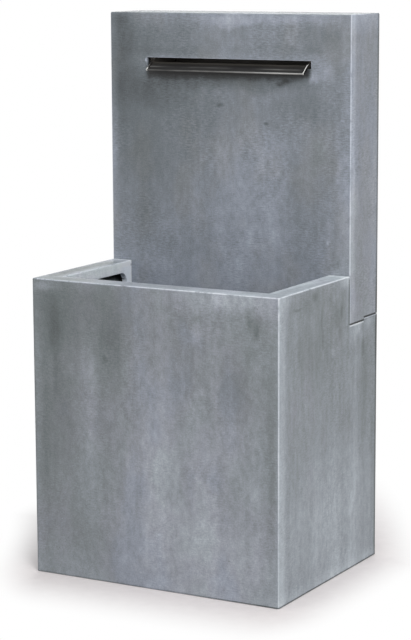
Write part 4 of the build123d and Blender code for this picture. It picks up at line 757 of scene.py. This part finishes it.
def weir_wear_and_glints(finish, stain):
    """Where the sheet is pale: worn bare along its front edge and right end, a painted highlight at its
    left end and a painted reflection line across it.
    """
    facing, _, _ = finish.split(finish.node("ShaderNodeTexCoord", out="Normal"))
    off_ends = finish.smooth(abs(facing), 0.75, 0.45)
    rightward = finish.smooth(finish.x, -0.20, 0.20)
    tip = finish.smooth(finish.y, weir_low.y + 0.0018, weir_low.y + 0.0008)
    tip = tip * (0.11 + rightward * rightward * 0.50 + stain * 0.14)
    outside = finish.smooth(finish.y, tower_low.y + 0.012, tower_low.y + 0.004)
    right_end = finish.smooth(finish.x, 0.1970, 0.1978) * outside * off_ends
    # Painted highlight at the sheet's left end
    left_end_light = finish.smooth(finish.x, -0.1955, -0.1970) * finish.smooth(finish.y, 0.086, 0.080) * 0.8
    # Painted reflection: a pale line across the sheet, in front of the tower's face
    glint_line = finish.smooth(abs(finish.y - tower_low.y + 0.009), 0.0024, 0.0008) * off_ends
    glint_line = glint_line * (0.07 + stain * 0.10)
    return reduce(finish.most, [tip, right_end, left_end_light, glint_line])


def weir_sheet():
    """Dark patinated sheet: worn along its cut edges, with painted highlights at its left end and
    across it, and painted light that makes it paler inside the tower, where shade falls.
    """
    material, finish = new_finish("weir_bronze")
    brush = finish.swing((4.0, 260.0, 260.0), detail=3.0, shift=1.1)
    stain = finish.swing((14.0, 30.0, 30.0), detail=4.0, shift=7.7)
    stops = ((0.2, linear(16, 15, 15)), (0.55, linear(24, 23, 22)), (0.85, linear(38, 36, 33)))
    colour = finish.ramp(0.5 + stain * 0.22 + brush * 0.10, stops)
    # Painted light: the sheet is paler inside the tower, where shade falls
    inside_light = finish.smooth(finish.y, tower_low.y - 0.002, tower_low.y + 0.020)
    colour = finish.mix(inside_light * 0.42, colour, linear(150, 145, 137))
    colour = finish.mix(weir_wear_and_glints(finish, stain), colour, linear(214, 214, 211))
    roughness = 0.50 + stain * 0.06 + brush * 0.05
    normal = finish.bump(brush, distance=0.00008, strength=0.5)
    finish.surface(colour, roughness, normal, Specular_IOR_Level=0.3)
    return material


def moulded(name, dark, light, roughness, pebble, stretch=(30.0, 30.0, 30.0), scuff=0.08):
    """Moulded or extruded plastic and rubber: a mottled colour, a fine pebble and light scuffs.

    Pebble and stretch are the features per metre of the pebble and of the mottle.
    """
    material, finish = new_finish(name)
    mottle = finish.swing(stretch, detail=3.0, shift=2.2)
    speck = finish.swing((pebble, pebble, pebble), detail=2.0, shift=5.5)
    scratches = finish.smooth(finish.noise((90.0, 700.0, 260.0), detail=2.0, shift=3.1), 0.62, 0.72)
    dust = finish.noise((24.0, 24.0, 24.0), detail=4.0, shift=8.8, rough=0.65)
    dust = finish.smooth(dust, 0.50, 0.75)
    colour = finish.ramp(0.5 + mottle * 0.25 + speck * 0.10, ((0.15, dark), (0.85, light)))
    colour = finish.mix((scratches * 0.5 + dust) * scuff, colour, linear(150, 150, 148))
    normal = finish.bump(speck + mottle * 0.3, distance=0.00012, strength=0.6)
    finish.surface(colour, roughness + speck * 0.04 + dust * 0.10, normal)
    return material


def foam():
    """Closed-cell sealing foam."""
    material, finish = new_finish("sealing_foam")
    cell = finish.cells((900.0, 900.0, 900.0))
    mottle = finish.swing((60.0, 60.0, 60.0), detail=3.0, shift=4.4)
    stops = ((0.2, linear(6, 6, 6)), (0.9, linear(24, 24, 25)))
    colour = finish.ramp(cell * 0.7 + mottle * 0.1 + 0.2, stops)
    finish.surface(colour, 0.85 + mottle * 0.05, finish.bump(cell, distance=0.0003, strength=0.8))
    return material


def steel():
    """Turned stainless steel screws."""
    material, finish = new_finish("turned_steel")
    lines = finish.swing((900.0, 40.0, 900.0), detail=3.0, shift=1.9)
    stain = finish.swing((120.0, 120.0, 120.0), detail=3.0, shift=6.1)
    stops = ((0.1, linear(140, 138, 134)), (0.9, linear(206, 206, 204)))
    colour = finish.ramp(0.5 + lines * 0.15 + stain * 0.2, stops)
    roughness = 0.34 + lines * 0.06 + stain * 0.05
    normal = finish.bump(lines, distance=0.00004, strength=0.5)
    finish.surface(colour, roughness, normal, Metallic=0.9)
    return material


def granular(name, dark, light, roughness, grain_per_metre):
    """Pressed and fired material, such as ferrite or ceramic."""
    material, finish = new_finish(name)
    grain = finish.swing((grain_per_metre,) * 3, detail=3.0, shift=3.3)
    cloud = finish.swing((70.0, 70.0, 70.0), detail=3.0, shift=7.4)
    pits = finish.smooth(finish.cells((600.0, 600.0, 600.0)), 0.22, 0.10)
    colour = finish.ramp(0.5 + grain * 0.2 + cloud * 0.2 - pits * 0.25, ((0.1, dark), (0.9, light)))
    normal = finish.bump(grain - pits, distance=0.0001, strength=0.5)
    finish.surface(colour, roughness + grain * 0.05 + pits * 0.1, normal)
    return material


# Finishes by the names that the frame's materials have
finishes = {
    "zinc_cast": zinc_trough(),
    "basin_cast": zinc_basin(),
    "weir_sheet": weir_sheet(),
    "foam": foam(),
    "steel_screws": steel(),
    "rubber": moulded("black_rubber", linear(22, 22, 22), linear(40, 40, 39),
                      roughness=0.72, pebble=900.0, scuff=0.10),
    "pipe_grey": moulded("pipe_grey", linear(146, 149, 152), linear(172, 175, 178),
                         roughness=0.42, pebble=700.0, stretch=(60.0, 60.0, 4.0), scuff=0.10),
    "fitting_black": moulded("fitting_black", linear(30, 30, 32), linear(52, 52, 54),
                             roughness=0.48, pebble=1100.0),
    "pump_black": moulded("pump_black", linear(24, 25, 27), linear(46, 47, 50),
                          roughness=0.55, pebble=1500.0, scuff=0.10),
    "handle_red": moulded("handle_red", linear(158, 28, 22), linear(196, 46, 36),
                          roughness=0.38, pebble=800.0, scuff=0.05),
    "valve_white": moulded("valve_white", linear(206, 205, 198), linear(232, 231, 226),
                           roughness=0.40, pebble=900.0, scuff=0.04),
    "magnet": granular("ferrite", linear(58, 58, 62), linear(86, 86, 88),
                       roughness=0.62, grain_per_metre=900.0),
    "ceramic": granular("ceramic", linear(214, 210, 200), linear(238, 236, 230),
                        roughness=0.30, grain_per_metre=1400.0),
}
own_finishes = {"tower_shell": zinc_tower(), "tower_back_panel": zinc_panel()}
for name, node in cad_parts.items():
    slot = node.material_slots[0]
    slot.material = own_finishes.get(name) or finishes[slot.name]


# Stage: a pale floor that goes over into a white surround
FLOOR_REACH = 60.0
# The floor's paint is greyer than white, so that near the foot it adds painted shade
FLOOR_STOPS = ((0.3, linear(214, 209, 209)), (0.7, linear(219, 214, 214)))
LEFT_SHADOW_PAINT = linear(196, 190, 191)
LEFT_SHADOW_SHARE = 0.25
# How far the shadow on the floor reaches past the trough's foot before the floor fades to white,
# which draws the shadow's outer end, and how it leans to the rear left
SHADOW_FRONT = 0.25
SHADOW_REAR = 0.80
SHADOW_SIDE = 0.15
SHADOW_LEFT_MIDDLE = 0.175
SHADOW_LEFT_SOFTER = 0.30
SHADOW_LEAN = 0.50
LEFT_LEAN_END = 0.15
RIGHT_LEAN_START = 0.20

# Light of the surround, and each softbox: place, target, width, height and watts
AMBIENT = 0.42
SOFTBOXES = {
    "key_softbox": ((2.4, -2.7, 3.4), (0.0, 0.0, 0.7), 1.1, 1.1, 80.0),
    "overhead_softbox": ((0.5, -0.4, 3.3), (0.1, -0.1, 0.6), 2.4, 2.0, 40.0),
    "right_softbox": ((3.6, -2.2, 1.9), (0.0, 0.0, 0.6), 2.0, 2.4, 40.0),
    "left_fill": ((-2.6, -3.4, 1.6), (0.0, 0.0, 0.6), 2.0, 2.0, 20.0),
    "rear_fill": ((-1.2, 3.6, 2.2), (0.0, 0.2, 0.6), 2.4, 2.0, 60.0),
}


def seen(finish):
    """1 for what the camera sees, straight or in gloss and glass, and 0 for light on its way."""
    names = ("Is Camera Ray", "Is Glossy Ray", "Is Transmission Ray")
    return reduce(finish.most, [finish.node("ShaderNodeLightPath", out=name) for name in names])


def shadow_end(finish):
    """From 0 by the trough's foot to 1 where its shadow on the floor has ended."""
    right = finish.x - trough_high.x + finish.most(finish.y - RIGHT_LEAN_START, 0.0) * SHADOW_LEAN
    left_leant = finish.least(finish.y, LEFT_LEAN_END) * SHADOW_LEAN
    # The left end is given by its middle, so that it softens to both sides
    left = trough_low.x - SHADOW_LEFT_MIDDLE - finish.x - left_leant
    left_reach = SHADOW_SIDE + finish.most(finish.y, 0.0) * SHADOW_LEFT_SOFTER
    sideways = finish.most(finish.most(left / left_reach + 0.5, right / SHADOW_SIDE), 0.0)
    rear = finish.most(finish.y - trough_high.y, 0.0) / SHADOW_REAR
    front = finish.most(trough_low.y - finish.y, 0.0) / SHADOW_FRONT
    return finish.math("SQRT", sideways * sideways + rear * rear + front * front)


def floor_white():
    """Pale matte paint that goes over into plain white past the object's shadow. The paint is greyer
    than the white, which adds painted shade near the foot, and painted shadow lies by the left side.
    """
    material, finish = new_finish("floor_white")
    paint = finish.ramp(finish.noise((35.0, 35.0, 1.0), detail=3.0, shift=1.0), FLOOR_STOPS)
    # Painted shadow on the floor by the trough's left side
    painted_left_shadow = finish.smooth(abs(finish.x - trough_low.x), 0.17, 0.02)
    painted_left_shadow = painted_left_shadow * finish.smooth(finish.y, trough_low.y, -0.10)
    paint = finish.mix(painted_left_shadow * LEFT_SHADOW_SHARE, paint, LEFT_SHADOW_PAINT)
    matte = finish.node("ShaderNodeBsdfDiffuse", None, {"Color": paint}, "BSDF")
    white = finish.node("ShaderNodeEmission", None, {"Color": WHITE, "Strength": 1.0})
    share = finish.smooth(shadow_end(finish), 0.0, 1.0) * seen(finish)
    shader = finish.node("ShaderNodeMixShader", None, {0: share, 1: matte, 2: white})
    finish.node("ShaderNodeOutputMaterial", None, {"Surface": shader})
    return material


def add_floor():
    mesh = bpy.data.meshes.new("floor")
    signs = ((-1, -1), (1, -1), (1, 1), (-1, 1))
    mesh.from_pydata([(x * FLOOR_REACH, y * FLOOR_REACH, 0.0) for x, y in signs], [], [(0, 1, 2, 3)])
    mesh.materials.append(floor_white())
    floor = bpy.data.objects.new("floor", mesh)
    bpy.context.scene.collection.objects.link(floor)


def add_surround():
    world = bpy.data.worlds.new("surround")
    bpy.context.scene.world = world
    finish = Finish(world)
    light = finish.node("ShaderNodeBackground", None, {"Color": WHITE, "Strength": AMBIENT})
    white = finish.node("ShaderNodeBackground", None, {"Color": WHITE, "Strength": 1.0})
    shader = finish.node("ShaderNodeMixShader", None, {0: seen(finish), 1: light, 2: white})
    finish.node("ShaderNodeOutputWorld", None, {"Surface": shader})


def add_softbox(name, place, target, width, height, watts):
    light = bpy.data.lights.new(name, "AREA")
    light.shape = "RECTANGLE"
    light.size = width
    light.size_y = height
    light.energy = watts
    lamp = bpy.data.objects.new(name, light)
    bpy.context.scene.collection.objects.link(lamp)
    lamp.location = place
    lamp.rotation_mode = "QUATERNION"
    lamp.rotation_quaternion = (Vector(target) - Vector(place)).to_track_quat("-Z", "Y")


def add_camera():
    data = bpy.data.cameras.new("camera")
    data.sensor_width = SENSOR_WIDTH
    data.lens = CAMERA_LENS
    camera = bpy.data.objects.new("camera", data)
    bpy.context.scene.collection.objects.link(camera)
    back = (CAMERA_PLACE - CAMERA_TARGET).normalized()
    right = Vector((0.0, 0.0, 1.0)).cross(back).normalized()
    level = Matrix((right, back.cross(right), back)).transposed().to_4x4()
    roll = Matrix.Rotation(CAMERA_ROLL, 4, "Z")
    camera.matrix_world = Matrix.Translation(CAMERA_PLACE) @ level @ roll
    bpy.context.scene.camera = camera


add_floor()
add_surround()
for name, values in SOFTBOXES.items():
    add_softbox(name, *values)
add_camera()
bpy.context.scene.view_settings.view_transform = "Standard"
